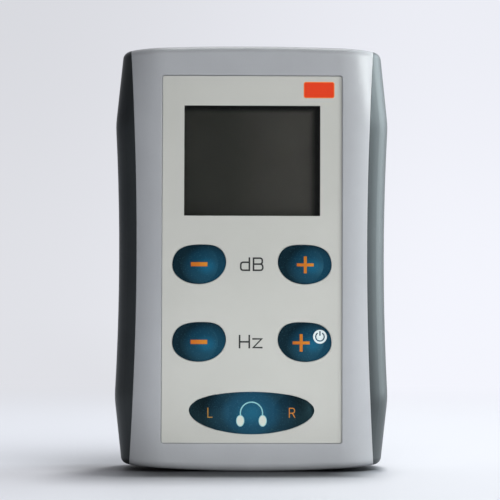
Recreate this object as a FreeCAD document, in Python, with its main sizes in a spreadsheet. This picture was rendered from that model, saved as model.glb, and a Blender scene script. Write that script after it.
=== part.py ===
"""Handheld audiometer: two-part case with soft side grips, membrane keypad, display, board and cells.

Frame: +X to the user's right, +Y from the face to the back, +Z up along the case.
Origin: on the ground, in the middle of the foot.  Millimetres.
"""
import FreeCAD, Part
import math
import os
import re

import Sketcher
from FreeCAD import Placement, Rotation, Vector

# Driving dimensions.  Each one becomes a named cell of the sheet "Sizes".
SIZES = {
    # outer form
    "case_length": 122.0,
    "case_depth": 30.0,
    "knee_half_width": 39.65,
    "knee_low": 20.8,
    "knee_high": 99.8,
    "knee_radius": 25.0,
    "waist_inset": 1.1,
    "end_inset": 2.3,
    "top_bow_radius": 800.0,
    "foot_bow_radius": 420.0,
    "shoulder_width": 12.8,
    "shoulder_turn": 42.0,
    "side_flat": 10.0,
    "end_fillet": 2.2,
    "parting_gap": 0.2,
    # line between shells and grips
    "grip_width": 6.55,
    "core_waist_height": 62.0,
    "core_side_radius": 920.0,
    # shell walls
    "front_wall": 2.0,
    "rear_wall": 2.4,
    "side_wall": 2.0,
    "foot_wall": 2.8,
    "top_wall": 2.4,
    "cavity_round": 4.5,
    "lip_height": 1.6,
    "lip_thickness": 1.0,
    "lip_gap": 0.15,
    # keypad film in its recess
    "panel_side_margin": 7.4,
    "panel_foot_margin": 8.15,
    "panel_top_margin": 8.75,
    "panel_corner": 0.6,
    "recess_gap": 0.15,
    "recess_depth": 0.8,
    "film_thickness": 0.3,
    # display window
    "window_side_margin": 6.2,
    "window_top_margin": 8.5,
    "window_height": 31.7,
    "sight_gap": 0.2,
    "lens_margin": 1.6,
    "lens_thickness": 1.0,
    "lens_gap": 0.1,
    "window_rib_height": 1.0,
    "window_rib_width": 1.4,
    # keys
    "key_width": 15.3,
    "key_height": 11.3,
    "key_side_margin": 2.95,
    "level_row_drop": 13.9,
    "pitch_row_offset": 0.95,
    "ear_row_rise": 8.5,
    "ear_spread": 11.7,
    "ear_key_radius": 5.5,
    "ear_oval_half_width": 17.95,
    "ear_oval_half_height": 6.08,
    "ear_oval_bend": 0.77,
    "dome_radius": 5.4,
    "ear_dome_inset": 0.1,
    "dome_rise": 0.5,
    "key_gap": 0.1,
    "plunger_inset": 0.1,
    "key_hole_gap": 0.2,
    "plunger_flange": 0.6,
    "plunger_flange_thickness": 0.8,
    "plunger_stem_radius": 1.6,
    "press_gap": 0.45,
    # main board, in front of the battery tray and between the case screws
    "board_thickness": 1.6,
    "board_boss_gap": 0.4,
    "board_end_gap": 2.2,
    "board_corner": 1.0,
    # switches
    "switch_width": 6.0,
    "switch_body_height": 1.6,
    "switch_dome_height": 0.6,
    "switch_dome_radius": 1.9,
    # display module
    "glass_margin": 2.4,
    "glass_thickness": 2.2,
    "glass_gap": 0.1,
    "frame_wall": 1.3,
    "frame_lip": 0.5,
    "frame_lip_cover": 0.9,
    "frame_gap": 0.1,
    "strip_height": 1.8,
    "strip_gap": 0.6,
    "strip_inset": 1.0,
    # case screws and their bosses
    "case_screw_inset": 5.5,
    "case_screw_margin": 10.5,
    "case_screw_shank": 1.4,
    "case_screw_head": 2.6,
    "case_screw_head_height": 2.0,
    "case_screw_sink": 6.0,
    "case_screw_length": 18.0,
    "case_boss_radius": 3.0,
    "screw_gap": 0.05,
    "head_gap": 0.3,
    # board screws and their bosses
    "board_screw_inset": 3.2,
    "board_screw_drop": 4.6,
    "board_screw_shank": 1.0,
    "board_screw_head": 2.0,
    "board_screw_head_height": 0.8,
    "board_screw_head_gap": 0.2,
    "board_screw_length": 6.0,
    "board_boss_radius": 2.3,
    # headphone socket, sunk in a notch of the board
    "socket_half_width": 3.0,
    "socket_half_depth": 2.5,
    "socket_length": 10.4,
    "socket_notch_gap": 0.2,
    "socket_end_gap": 0.2,
    "socket_bore": 1.8,
    "socket_bore_length": 12.4,
    "socket_nose_radius": 2.9,
    "socket_nose_gap": 0.15,
    "socket_nose_set_back": 0.2,
    "contact_thickness": 0.3,
    "contact_width": 1.4,
    "contact_reach": 1.6,
    "contact_step": 4.0,
    "contact_margin": 1.0,
    # cells
    "cell_radius": 7.25,
    "cell_body_length": 49.5,
    "cell_nub_height": 1.0,
    "cell_nub_radius": 2.6,
    "cell_spread": 7.6,
    "cell_side_gap": 0.35,
    "cell_back_gap": 0.15,
    "spring_length": 4.5,
    "spring_radius": 3.6,
    "spring_wire": 0.4,
    "spring_turns": 3.0,
    "plate_thickness": 0.5,
    "plate_half_width": 5.6,
    "tag_half_width": 1.0,
    # battery tray and door
    "tray_hinge_gap": 1.6,
    "tray_wall": 1.2,
    "ledge_gap": 0.2,
    "ledge_thickness": 1.0,
    "ledge_cover": 1.6,
    "door_side_cover": 3.5,
    "door_top_cover": 5.5,
    "door_gap": 0.3,
    "hinge_height": 9.6,
    "pin_radius": 0.7,
    "pin_length": 1.8,
    "pin_gap": 0.05,
    "catch_half_width": 6.0,
    "catch_thickness": 1.2,
    "catch_depth": 2.2,
    "catch_gap": 0.3,
    "thumb_half_width": 7.0,
    "thumb_depth": 0.9,
    "thumb_height": 6.0,
    # parts on the back of the board, placed above the top of the tray
    "controller_size": 10.0,
    "controller_height": 1.4,
    "controller_rise": 16.6,
    "codec_size": 6.0,
    "codec_height": 1.2,
    "codec_spread": 13.5,
    "codec_rise": 7.6,
    "codec_step": 14.0,
    "lead_width": 0.35,
    "lead_reach": 1.0,
    "lead_pitch": 0.9,
    "lead_thickness": 0.3,
    "crystal_length": 10.5,
    "crystal_width": 4.4,
    "crystal_height": 3.4,
    "crystal_rise": 4.6,
    "coil_radius": 3.6,
    "coil_core_radius": 2.0,
    "coil_height": 3.8,
    "coil_flange": 0.9,
    "coil_spread": 14.0,
    "coil_rise": 7.6,
    "capacitor_radius": 2.6,
    "capacitor_height": 6.2,
    "capacitor_spread": 17.0,
    "capacitor_rise": 17.6,
    "capacitor_step": 8.0,
    "capacitor_stagger": 6.5,
    "chip_part_length": 1.8,
    "chip_part_width": 1.0,
    "chip_part_height": 0.6,
    "chip_part_rise": 28.6,
    "chip_part_start": 4.0,
}

# Places worked out from the driving dimensions, as expressions.
PLACES = {
    "core_half_width": "knee_half_width - grip_width",
    "face": "0 - case_depth / 2",
    "back": "case_depth / 2",
    "recess_floor": "face + recess_depth",
    "film_front": "recess_floor - film_thickness",
    "front_inner": "face + front_wall",
    "rear_inner": "back - rear_wall",
    "parting_front": "0 - parting_gap / 2",
    "parting_back": "parting_gap / 2",
    "cavity_high": "case_length - top_wall",
    "panel_half_width": "core_half_width - panel_side_margin",
    "panel_low": "panel_foot_margin",
    "panel_high": "case_length - panel_top_margin",
    "lens_back": "recess_floor + lens_thickness",
    "rib_back": "front_inner + window_rib_height",
    "window_half_width": "panel_half_width - window_side_margin",
    "window_high": "panel_high - window_top_margin",
    "window_low": "window_high - window_height",
    "key_spread": "panel_half_width - key_side_margin - key_width / 2",
    "level_row": "window_low - level_row_drop",
    "ear_row": "panel_low + ear_row_rise",
    "pitch_row": "(level_row + ear_row) / 2 - pitch_row_offset",
    "hinge_radius": "rear_wall / 2",
    "hinge_depth": "back - hinge_radius",
    "tray_low": "hinge_height + tray_hinge_gap",
    "cells_low": "tray_low + plate_thickness",
    "cells_high": "cells_low + cell_nub_height + cell_body_length + spring_length",
    "tray_high": "cells_high + plate_thickness",
    "tray_top": "tray_high + tray_wall",
    "tray_half_width": "cell_spread + cell_radius + cell_side_gap",
    "cell_depth": "rear_inner - cell_back_gap - cell_radius",
    "tray_floor_depth": "cell_depth - cell_radius - cell_back_gap",
    "tray_front": "tray_floor_depth - tray_wall",
    "board_back": "tray_front - board_screw_head_gap - board_screw_head_height",
    "board_front": "board_back - board_thickness",
    "board_low": "foot_wall + board_end_gap",
    "board_high": "cavity_high - board_end_gap",
    "board_half_width": "case_screw_spread - case_boss_radius - board_boss_gap",
    "case_screw_spread": "core_half_width - case_screw_inset",
    "case_screw_low": "case_screw_margin",
    "case_screw_high": "case_length - case_screw_margin",
    "case_screw_seat": "back - case_screw_sink",
    "board_screw_spread": "board_half_width - board_screw_inset",
    "board_screw_low": "(ear_row + pitch_row) / 2",
    "board_screw_high": "board_high - board_screw_drop",
    "frame_front": "rib_back + frame_gap",
    "glass_front": "frame_front + frame_lip",
    "glass_back": "glass_front + glass_thickness",
    "glass_half_width": "window_half_width + glass_margin",
    "glass_low": "window_low - glass_margin",
    "glass_high": "window_high + glass_margin",
    "flange_back": "front_inner + plunger_flange_thickness",
    "switch_front": "board_front - switch_body_height",
    "dome_front": "switch_front - switch_dome_height",
    "stem_back": "dome_front - press_gap",
    "socket_depth": "board_back - socket_half_depth",
    "socket_high": "cavity_high - socket_end_gap",
    "socket_low": "socket_high - socket_length",
    "nose_high": "case_length - socket_nose_set_back",
    "ledge_back": "rear_inner - ledge_gap",
    "ledge_front": "ledge_back - ledge_thickness",
    "door_low": "hinge_height - hinge_radius",
    "door_high": "tray_high + door_top_cover",
    "door_half_width": "tray_half_width + door_side_cover",
    "catch_high": "door_high - catch_gap",
    "catch_low": "catch_high - catch_thickness",
}

# Corner points of the egg-shaped key, as shares of its half width and half height.
EGG = [(-1.0, 0.05), (-0.75, 0.73), (0.07, 0.99), (0.81, 0.74),
       (1.0, 0.11), (0.75, -0.62), (0.01, -1.0), (-0.81, -0.62)]

WORD = re.compile(r"[a-z_]+")
# Rotations that turn a cylinder's own axis, +Z, to the named axis.
TURNS = {
    "x": Rotation(Vector(0, 1, 0), 90),
    "y": Rotation(Vector(1, 0, 0), -90),
    "z": Rotation(),
}
OVERRUN = 1.0       # how far a cutting body runs past the wall that it cuts
FAR = 10.0          # how far a body that spans the whole case runs past it
# Cross slot of a screw head, as shares of the head's radius and height.
CROSS_ARM = 0.6
CROSS_HALF_WIDTH = 0.12
CROSS_FLOOR = 0.4
OVAL_STEPS = 20              # points on the outline of the oval
CONTROLLER_LEAD_COUNT = 9    # on each of its four sides
CODEC_LEAD_COUNT = 5         # on each of its two sides

doc = FreeCAD.newDocument("audiometer")
sheet = doc.addObject("Spreadsheet::Sheet", "Sizes")
for row, (alias, number) in enumerate(SIZES.items(), start=1):
    sheet.set(f"A{row}", alias)
    sheet.set(f"B{row}", str(number))
    sheet.setAlias(f"B{row}", alias)
doc.recompute()

subparts = []


# ---------------------------------------------------------------- expressions

def formula(text):
    """Expression with the names of sizes and places turned into sheet references."""
    def term(match):
        word = match.group(0)
        if word in SIZES:
            return "Sizes." + word
        if word in PLACES:
            return "(" + formula(PLACES[word]) + ")"
        return word
    return WORD.sub(term, str(text))


def bind(item, prop, text):
    item.setExpression(prop, formula(text))


def value(text):
    return float(sheet.evalExpression(formula(text)))


def keep(item):
    """Mark an object as a sub-part, which is written under its own label."""
    subparts.append(item)
    return item


# ---------------------------------------------------------------- primitives

def block(name, x, y, z):
    """Box from low to high along each axis; every bound is an expression."""
    item = doc.addObject("Part::Box", name)
    for axis, size, (low, high) in zip("xyz", ("Length", "Width", "Height"), (x, y, z)):
        bind(item, size, f"({high}) - ({low})")
        bind(item, f"Placement.Base.{axis}", low)
    return item


def rod(name, axis, place, span, radius):
    """Cylinder along an axis; place holds the two other coordinates in x, y, z order."""
    item = doc.addObject("Part::Cylinder", name)
    item.Placement = Placement(Vector(), TURNS[axis])
    low, high = span
    bind(item, "Radius", radius)
    bind(item, "Height", f"({high}) - ({low})")
    bind(item, f"Placement.Base.{axis}", low)
    for other, text in zip([letter for letter in "xyz" if letter != axis], place):
        bind(item, f"Placement.Base.{other}", text)
    return item


def ball(name, x, y, z, radius):
    item = doc.addObject("Part::Sphere", name)
    bind(item, "Radius", radius)
    for axis, text in zip("xyz", (x, y, z)):
        bind(item, f"Placement.Base.{axis}", text)
    return item


def fuse(name, *items):
    item = doc.addObject("Part::MultiFuse", name)
    item.Shapes = list(items)
    item.Refine = True
    return item


def common(name, *items):
    item = doc.addObject("Part::MultiCommon", name)
    item.Shapes = list(items)
    return item


def cut(name, base, *tools):
    item = doc.addObject("Part::Cut", name)
    item.Base = base
    item.Tool = tools[0] if len(tools) == 1 else fuse(name + "_tools", *tools)
    return item


def group(name, *items):
    """Several separate solids under one label."""
    item = doc.addObject("Part::Compound", name)
    item.Links = list(items)
    return item


# ---------------------------------------------------------------- sketched bodies

def sketch_in(body, name, role, offset):
    """Sketch on one of the body's own origin planes, moved along that plane's normal."""
    sketch = body.newObject("Sketcher::SketchObject", name)
    plane = next(item for item in body.Origin.OriginFeatures if item.Role == role)
    sketch.AttachmentSupport = (plane, [""])
    sketch.MapMode = "FlatFace"
    bind(sketch, "AttachmentOffset.Base.z", offset)
    return sketch


def pin_point(sketch, element, end, x, y):
    """Hold a point of the sketch at two expressions, measured from the origin."""
    for kind, text in (("DistanceX", x), ("DistanceY", y)):
        index = sketch.addConstraint(Sketcher.Constraint(kind, -1, 1, element, end, value(text)))
        bind(sketch, f"Constraints[{index}]", text)


def rectangle(sketch, x, y):
    """Closed rectangle between (low, high) expressions along the sketch's two axes."""
    corners = [(x[0], y[0]), (x[1], y[0]), (x[1], y[1]), (x[0], y[1])]
    points = [Vector(value(a), value(b), 0) for a, b in corners]
    first = sketch.GeometryCount
    for index in range(4):
        sketch.addGeometry(Part.LineSegment(points[index], points[(index + 1) % 4]))
    for index, (a, b) in enumerate(corners):
        pin_point(sketch, first + index, 1, a, b)
        follower = first + (index + 1) % 4
        sketch.addConstraint(Sketcher.Constraint("Coincident", first + index, 2, follower, 1))


def pad(body, sketch, length):
    feature = body.newObject("PartDesign::Pad", sketch.Name + "_pad")
    feature.Profile = sketch
    bind(feature, "Length", length)
    doc.recompute()
    return feature


def pocket(body, sketch, length):
    feature = body.newObject("PartDesign::Pocket", sketch.Name + "_pocket")
    feature.Profile = sketch
    bind(feature, "Length", length)
    before = body.Shape.Volume
    doc.recompute()
    if not body.Shape.Volume < before:
        raise RuntimeError(sketch.Name + " removes nothing")
    return feature


def round_edges(body, name, radius, chosen):
    """Fillet those edges of the body's last feature for which chosen(edge) holds."""
    base = body.Tip
    edges = [f"Edge{index}" for index, edge in enumerate(base.Shape.Edges, start=1) if chosen(edge)]
    feature = body.newObject("PartDesign::Fillet", name)
    feature.Base = (base, edges)
    bind(feature, "Radius", radius)
    doc.recompute()
    return feature


def runs_along_y(edge):
    if edge.Curve.TypeId != "Part::GeomLine":
        return False
    return abs(edge.Curve.Direction.y) > 0.999


def front_slab(name, x, z, front, back):
    """Body with a rectangular outline seen from the front, between two depths."""
    body = doc.addObject("PartDesign::Body", name)
    sketch = sketch_in(body, name + "_outline", "XZ_Plane", f"0 - ({back})")
    rectangle(sketch, x, z)
    pad(body, sketch, f"({back}) - ({front})")
    return body


def waist_body(name, inset, low, high, front, back):
    """Body whose long sides follow the concave line between shells and grips."""
    body = doc.addObject("PartDesign::Body", name)
    sketch = sketch_in(body, name + "_outline", "XZ_Plane", f"0 - ({back})")
    radius = f"core_side_radius + ({inset})"
    centre_x = "core_half_width + core_side_radius"
    reach = value(radius)
    middle = value(centre_x)
    height = value("core_waist_height")
    bottom = value(low)
    top = value(high)
    angle_low = math.asin((bottom - height) / reach)
    angle_high = math.asin((top - height) / reach)

    def side(sign, start, end):
        circle = Part.Circle(Vector(sign * middle, height, 0), Vector(0, 0, 1), reach)
        return Part.ArcOfCircle(circle, start, end)

    right = side(1, math.pi - angle_high, math.pi - angle_low)
    left = side(-1, angle_low, angle_high)
    foot = Part.LineSegment(left.StartPoint, right.EndPoint)
    head = Part.LineSegment(right.StartPoint, left.EndPoint)
    for item in (right, foot, left, head):
        sketch.addGeometry(item)
    for pair in ((0, 2, 1, 2), (1, 1, 2, 1), (2, 2, 3, 2), (3, 1, 0, 1)):
        sketch.addConstraint(Sketcher.Constraint("Coincident", *pair))
    sketch.addConstraint(Sketcher.Constraint("Horizontal", 1))
    sketch.addConstraint(Sketcher.Constraint("Horizontal", 3))
    pin_point(sketch, 0, 3, centre_x, "core_waist_height")
    pin_point(sketch, 2, 3, f"0 - ({centre_x})", "core_waist_height")
    for arc in (0, 2):
        index = sketch.addConstraint(Sketcher.Constraint("Radius", arc, reach))
        bind(sketch, f"Constraints[{index}]", radius)
    for line, text in ((1, low), (3, high)):
        kind = Sketcher.Constraint("DistanceY", -1, 1, line, 1, value(text))
        bind(sketch, f"Constraints[{sketch.addConstraint(kind)}]", text)
    pad(body, sketch, f"({back}) - ({front})")
    return body


# ---------------------------------------------------------------- outer form

def knee_arc(end, knee, waist_centre, waist_radius, radius):
    """Three points of the arc that rounds the knee between a straight side and the waist."""
    along = (knee - end).normalize()
    inward = Vector(-abs(along.z), 0, math.copysign(along.x, along.x * along.z))
    start = end + inward * radius
    gap = start - waist_centre
    half = gap.dot(along)
    root = math.sqrt(half ** 2 - gap.dot(gap) + (waist_radius + radius) ** 2)
    span = (knee - end).Length
    reach = min((-half - root, -half + root), key=lambda step: abs(step - span))
    centre = start + along * reach
    to_line = inward * -1
    to_waist = (waist_centre - centre).normalize()
    middle = (to_line + to_waist).normalize()
    return [centre + ray * radius for ray in (to_line, middle, to_waist)]


def side_path():
    """Silhouette of the right side in the middle plane, run past both ends."""
    length = value("case_length")
    half = value("knee_half_width")
    low, high = value("knee_low"), value("knee_high")
    waist = value("waist_inset")
    inset = value("end_inset")
    middle = (low + high) / 2
    chord = (high - low) / 2
    radius = (chord ** 2 + waist ** 2) / (2 * waist)
    centre = Vector(half - waist + radius, 0, middle)
    foot = Vector(half - inset * (low + FAR) / low, 0, -FAR)
    head = Vector(half - inset * (length - high + FAR) / (length - high), 0, length + FAR)
    rounding = value("knee_radius")
    lower = knee_arc(foot, Vector(half, 0, low), centre, radius, rounding)
    upper = knee_arc(head, Vector(half, 0, high), centre, radius, rounding)
    waist_point = Vector(half - waist, 0, middle)
    edges = [
        Part.LineSegment(foot, lower[0]),
        Part.Arc(*lower),
        Part.Arc(lower[2], waist_point, upper[2]),
        Part.Arc(upper[2], upper[1], upper[0]),
        Part.LineSegment(upper[0], head),
    ]
    return Part.Wire([edge.toShape() for edge in edges]), foot


def side_profile(foot, inner):
    """Section of the side: flat face, shoulder arc, grip arc, flat side and the same again behind."""
    half_depth = value("case_depth") / 2
    flat = value("side_flat") / 2
    bend = half_depth - flat
    shoulder = value("shoulder_width")
    turn = math.radians(value("shoulder_turn"))
    sine, cosine = math.sin(turn), math.cos(turn)
    share = sine * cosine - (1 - sine) * (1 - cosine)
    shoulder_radius = (shoulder * cosine - bend * (1 - sine)) / share
    grip_radius = (bend * sine - shoulder * (1 - cosine)) / share
    join = math.pi / 2 - turn

    def point(x, y):
        return Vector(foot.x + x, y, foot.z)

    def arc(x, y, radius, start, end):
        angles = (start, (start + end) / 2, end)
        points = [point(x + radius * math.cos(a), y + radius * math.sin(a)) for a in angles]
        return Part.Arc(*points).toShape()

    def line(x0, y0, x1, y1):
        return Part.LineSegment(point(x0, y0), point(x1, y1)).toShape()

    centre_depth = half_depth - shoulder_radius
    edges = [
        line(-inner, half_depth, -inner, -half_depth),
        line(-inner, -half_depth, -shoulder, -half_depth),
        arc(-shoulder, -centre_depth, shoulder_radius, -math.pi / 2, -join),
        arc(-grip_radius, -flat, grip_radius, -join, 0),
        line(0, -flat, 0, flat),
        arc(-grip_radius, flat, grip_radius, 0, join),
        arc(-shoulder, centre_depth, shoulder_radius, join, math.pi / 2),
        line(-shoulder, half_depth, -inner, half_depth),
    ]
    return Part.Face(Part.Wire(edges))


def end_prism():
    """Block between the two bowed ends."""
    length = value("case_length")
    reach = value("knee_half_width") + FAR
    depth = value("case_depth") + 2 * FAR
    top_radius = value("top_bow_radius")
    foot_radius = value("foot_bow_radius")
    top_drop = top_radius - math.sqrt(top_radius ** 2 - reach ** 2)
    foot_rise = foot_radius - math.sqrt(foot_radius ** 2 - reach ** 2)

    def point(x, z):
        return Vector(x, -depth / 2, z)

    corners = [point(-reach, foot_rise), point(reach, foot_rise),
               point(reach, length - top_drop), point(-reach, length - top_drop)]
    edges = [
        Part.Arc(corners[0], point(0, 0), corners[1]),
        Part.LineSegment(corners[1], corners[2]),
        Part.Arc(corners[2], point(0, length), corners[3]),
        Part.LineSegment(corners[3], corners[0]),
    ]
    face = Part.Face(Part.Wire([edge.toShape() for edge in edges]))
    return face.extrude(Vector(0, depth, 0))


def outer_form():
    """The closed case as one solid: swept sides, bowed ends, rounded end edges."""
    path, foot = side_path()
    overlap = 2.0
    flat = foot.x - value("shoulder_width") - overlap
    rail = value("knee_half_width") - flat + overlap
    right = path.makePipe(side_profile(foot, rail))
    left = right.mirror(Vector(), Vector(1, 0, 0))
    depth = value("case_depth")
    length = value("case_length")
    middle = Part.makeBox(2 * flat, depth, length + 2 * FAR, Vector(-flat, -depth / 2, -FAR))
    form = middle.fuse([right, left]).removeSplitter().common(end_prism())
    fillet = value("end_fillet")
    reach = value("knee_low") / 2

    def lies_at_an_end(edge):
        ends = [vertex.Z for vertex in edge.Vertexes]
        return all(z < reach for z in ends) or all(z > length - reach for z in ends)

    def runs_round_the_end(edge):
        steep = abs(edge.tangentAt(edge.FirstParameter).z) > 0.5
        return not steep and edge.Length > fillet / 2

    edges = [edge for edge in form.Edges if lies_at_an_end(edge) and runs_round_the_end(edge)]
    item = doc.addObject("Part::Feature", "outer_form")
    item.Shape = form.makeFillet(fillet, edges)
    return item


# ---------------------------------------------------------------- key outlines

def egg_prism(name, x, z, grow, front, back, mirrored):
    """Egg-shaped prism along Y; grow widens the key's outline all round."""
    half_width = value("key_width") / 2 + value(grow)
    half_height = value("key_height") / 2 + value(grow)
    sign = -1 if mirrored else 1
    points = [Vector(sign * half_width * a, 0, half_height * b) for a, b in EGG]
    curve = Part.BSplineCurve()
    curve.interpolate(points, PeriodicFlag=True)
    face = Part.Face(Part.Wire([curve.toShape()]))
    item = doc.addObject("Part::Feature", name)
    item.Shape = face.extrude(Vector(0, value(back) - value(front), 0))
    item.Placement = Placement(Vector(value(x), value(front), value(z)), Rotation())
    return item


def oval_prism(name, z, grow, front, back):
    """Prism over the oval of both ear keys, an ellipse with raised ends; grow widens it all round."""
    half_width = value("ear_oval_half_width") + value(grow)
    half_height = value("ear_oval_half_height") + value(grow)
    bend = value("ear_oval_bend")
    turns = [2 * math.pi * step / OVAL_STEPS for step in range(OVAL_STEPS)]
    points = [Vector(half_width * math.cos(t), 0, half_height * math.sin(t) + bend * math.cos(t) ** 2)
              for t in turns]
    curve = Part.BSplineCurve()
    curve.interpolate(points, PeriodicFlag=True)
    face = Part.Face(Part.Wire([curve.toShape()]))
    item = doc.addObject("Part::Feature", name)
    item.Shape = face.extrude(Vector(0, value(back) - value(front), 0))
    item.Placement = Placement(Vector(0, value(front), value(z)), Rotation())
    return item


class Key:
    """One key: where it sits and which outline it has."""

    def __init__(self, name, x, z, outline):
        self.name = name
        self.x = x
        self.z = z
        self.outline = outline

    def prism(self, name, grow, front, back):
        if self.outline == "oval end":
            disc = rod(name + "_disc", "y", (self.x, self.z), (front, back),
                       f"ear_key_radius + ({grow})")
            return common(name, disc, oval_prism(name + "_oval", self.z, grow, front, back))
        return egg_prism(name, self.x, self.z, grow, front, back, self.outline == "right egg")

    def dome_core(self, name, front, back):
        """Upright sides of the embossed dome, and the radius of its foot."""
        if self.outline == "oval end":
            return (self.prism(name, "0 - ear_dome_inset", front, back),
                    "(ear_key_radius - ear_dome_inset)")
        return rod(name, "y", (self.x, self.z), (front, back), "dome_radius"), "dome_radius"


KEYS = [
    Key("level_down", "0 - key_spread", "level_row", "left egg"),
    Key("level_up", "key_spread", "level_row", "right egg"),
    Key("pitch_down", "0 - key_spread", "pitch_row", "left egg"),
    Key("pitch_up", "key_spread", "pitch_row", "right egg"),
    Key("left_ear", "0 - ear_spread", "ear_row", "oval end"),
    Key("right_ear", "ear_spread", "ear_row", "oval end"),
]


def key_cap(key):
    """Film cap of a key: flat rim with a shallow spherical dome in its middle."""
    rim = key.prism(f"rim_{key.name}", "0", "film_front", "recess_floor")
    core, base = key.dome_core(f"dome_core_{key.name}", f"face - {OVERRUN}",
                               "film_front + film_thickness / 3")
    curve = f"({base} * {base} + dome_rise * dome_rise) / (2 * dome_rise)"
    sphere = ball(f"sphere_{key.name}", key.x, f"film_front - dome_rise + {curve}", key.z, curve)
    dome = common(f"dome_{key.name}", sphere, core)
    return keep(fuse(f"key_{key.name}", rim, dome))


def plunger(key):
    """Stiff pad behind a key, with a flange inside the shell and a stem to the switch."""
    pad_body = key.prism(f"pad_{key.name}", "0 - plunger_inset", "recess_floor", "flange_back")
    flange = key.prism(f"flange_{key.name}", "plunger_flange", "front_inner", "flange_back")
    stem = rod(f"stem_{key.name}", "y", (key.x, key.z), ("flange_back", "stem_back"),
               "plunger_stem_radius")
    return keep(fuse(f"plunger_{key.name}", pad_body, flange, stem))


# ---------------------------------------------------------------- screws

def screw(name, x, z, seat, head, head_height, shank, length):
    """Cross-head screw that is driven from the back: its head stands behind the seat."""
    top = f"{seat} + {head_height}"
    body = fuse(
        name + "_blank",
        rod(name + "_head", "y", (x, z), (seat, top), head),
        rod(name + "_shank", "y", (x, z), (f"{seat} - {length}", seat), shank),
    )
    arm = f"{head} * {CROSS_ARM}"
    slot = f"{head} * {CROSS_HALF_WIDTH}"
    deep = (f"{seat} + {head_height} * {CROSS_FLOOR}", f"{top} + {OVERRUN}")
    across = block(name + "_across", (f"{x} - {arm}", f"{x} + {arm}"), deep,
                   (f"{z} - {slot}", f"{z} + {slot}"))
    upright = block(name + "_upright", (f"{x} - {slot}", f"{x} + {slot}"), deep,
                    (f"{z} - {arm}", f"{z} + {arm}"))
    return cut(name, body, across, upright)


CASE_SCREWS = [(f"{sign} * case_screw_spread", height)
               for sign in (-1, 1) for height in ("case_screw_low", "case_screw_high")]
BOARD_SCREWS = [(f"{sign} * board_screw_spread", height)
                for sign in (-1, 1) for height in ("board_screw_low", "board_screw_high")]
WHOLE_WIDTH = (f"0 - knee_half_width - {FAR}", f"knee_half_width + {FAR}")
WHOLE_HEIGHT = (f"0 - {FAR}", f"case_length + {FAR}")


def case_screws():
    solids = [screw(f"case_screw_{index}", x, z, "case_screw_seat", "case_screw_head",
                    "case_screw_head_height", "case_screw_shank", "case_screw_length")
              for index, (x, z) in enumerate(CASE_SCREWS)]
    keep(group("case_screws", *solids))


def board_screws():
    solids = [screw(f"board_screw_{index}", x, z, "board_back", "board_screw_head",
                    "board_screw_head_height", "board_screw_shank", "board_screw_length")
              for index, (x, z) in enumerate(BOARD_SCREWS)]
    keep(group("board_screws", *solids))


# ---------------------------------------------------------------- case

def front_shell(form, core):
    """Front half: face with recess, window and key holes, bosses for board and case screws."""
    half = block("front_half", WHOLE_WIDTH, (f"face - {OVERRUN}", "parting_front"), WHOLE_HEIGHT)
    blank = common("front_blank", form, core, half)
    cavity = waist_body("front_cavity", "side_wall", "foot_wall", "cavity_high",
                        "front_inner", f"{OVERRUN}")
    round_edges(cavity, "front_cavity_round", "cavity_round", long_side_at("front_inner"))
    hollow = cut("front_hollow", blank, cavity)
    rib_x = "window_half_width + lens_margin + window_rib_width"
    rib = block("window_rib", (f"0 - ({rib_x})", rib_x), ("recess_floor", "rib_back"),
                ("window_low - lens_margin - window_rib_width",
                 "window_high + lens_margin + window_rib_width"))
    additions = [rib]
    removals = []
    for index, (x, z) in enumerate(CASE_SCREWS):
        additions.append(rod(f"front_boss_{index}", "y", (x, z), ("recess_floor", "0"),
                             "case_boss_radius"))
        removals.append(rod(f"front_boss_hole_{index}", "y", (x, z),
                            (f"case_screw_seat - case_screw_length - {OVERRUN}", f"{OVERRUN}"),
                            "case_screw_shank + screw_gap"))
    for index, (x, z) in enumerate(BOARD_SCREWS):
        additions.append(rod(f"board_boss_{index}", "y", (x, z), ("recess_floor", "board_front"),
                             "board_boss_radius"))
        removals.append(rod(f"board_boss_hole_{index}", "y", (x, z),
                            (f"board_back - board_screw_length - {OVERRUN} / 2",
                             f"board_front + {OVERRUN}"),
                            "board_screw_shank + screw_gap"))
    edge_x = "panel_half_width + recess_gap"
    recess = front_slab("recess", (f"0 - ({edge_x})", edge_x),
                        ("panel_low - recess_gap", "panel_high + recess_gap"),
                        f"face - {OVERRUN}", "recess_floor")
    round_edges(recess, "recess_corners", "panel_corner + recess_gap", runs_along_y)
    lens_x = "window_half_width + lens_margin + lens_gap"
    seat = block("lens_seat", (f"0 - ({lens_x})", lens_x), (f"face - {OVERRUN}", "lens_back"),
                 ("window_low - lens_margin - lens_gap", "window_high + lens_margin + lens_gap"))
    sight_x = "window_half_width + sight_gap"
    sight = block("sight", (f"0 - ({sight_x})", sight_x),
                  (f"face - {OVERRUN}", f"rib_back + {OVERRUN}"),
                  ("window_low - sight_gap", "window_high + sight_gap"))
    nose = rod("front_nose_hole", "z", ("0", "socket_depth"),
               (f"cavity_high - {OVERRUN}", f"case_length + {OVERRUN}"),
               "socket_nose_radius + socket_nose_gap")
    removals += [recess, seat, sight, nose]
    for key in KEYS:
        removals.append(key.prism(f"shell_hole_{key.name}", "key_hole_gap", f"face - {OVERRUN}",
                                  f"front_inner + {OVERRUN}"))
    keep(cut("front_shell", fuse("front_built", hollow, *additions), *removals))


def long_side_at(depth):
    """Test for the curved long edges that lie in the plane Y = depth."""
    wanted = value(depth)

    def chosen(edge):
        level = all(abs(vertex.Y - wanted) < 1e-3 for vertex in edge.Vertexes)
        return level and edge.Curve.TypeId == "Part::GeomCircle"
    return chosen


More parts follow.
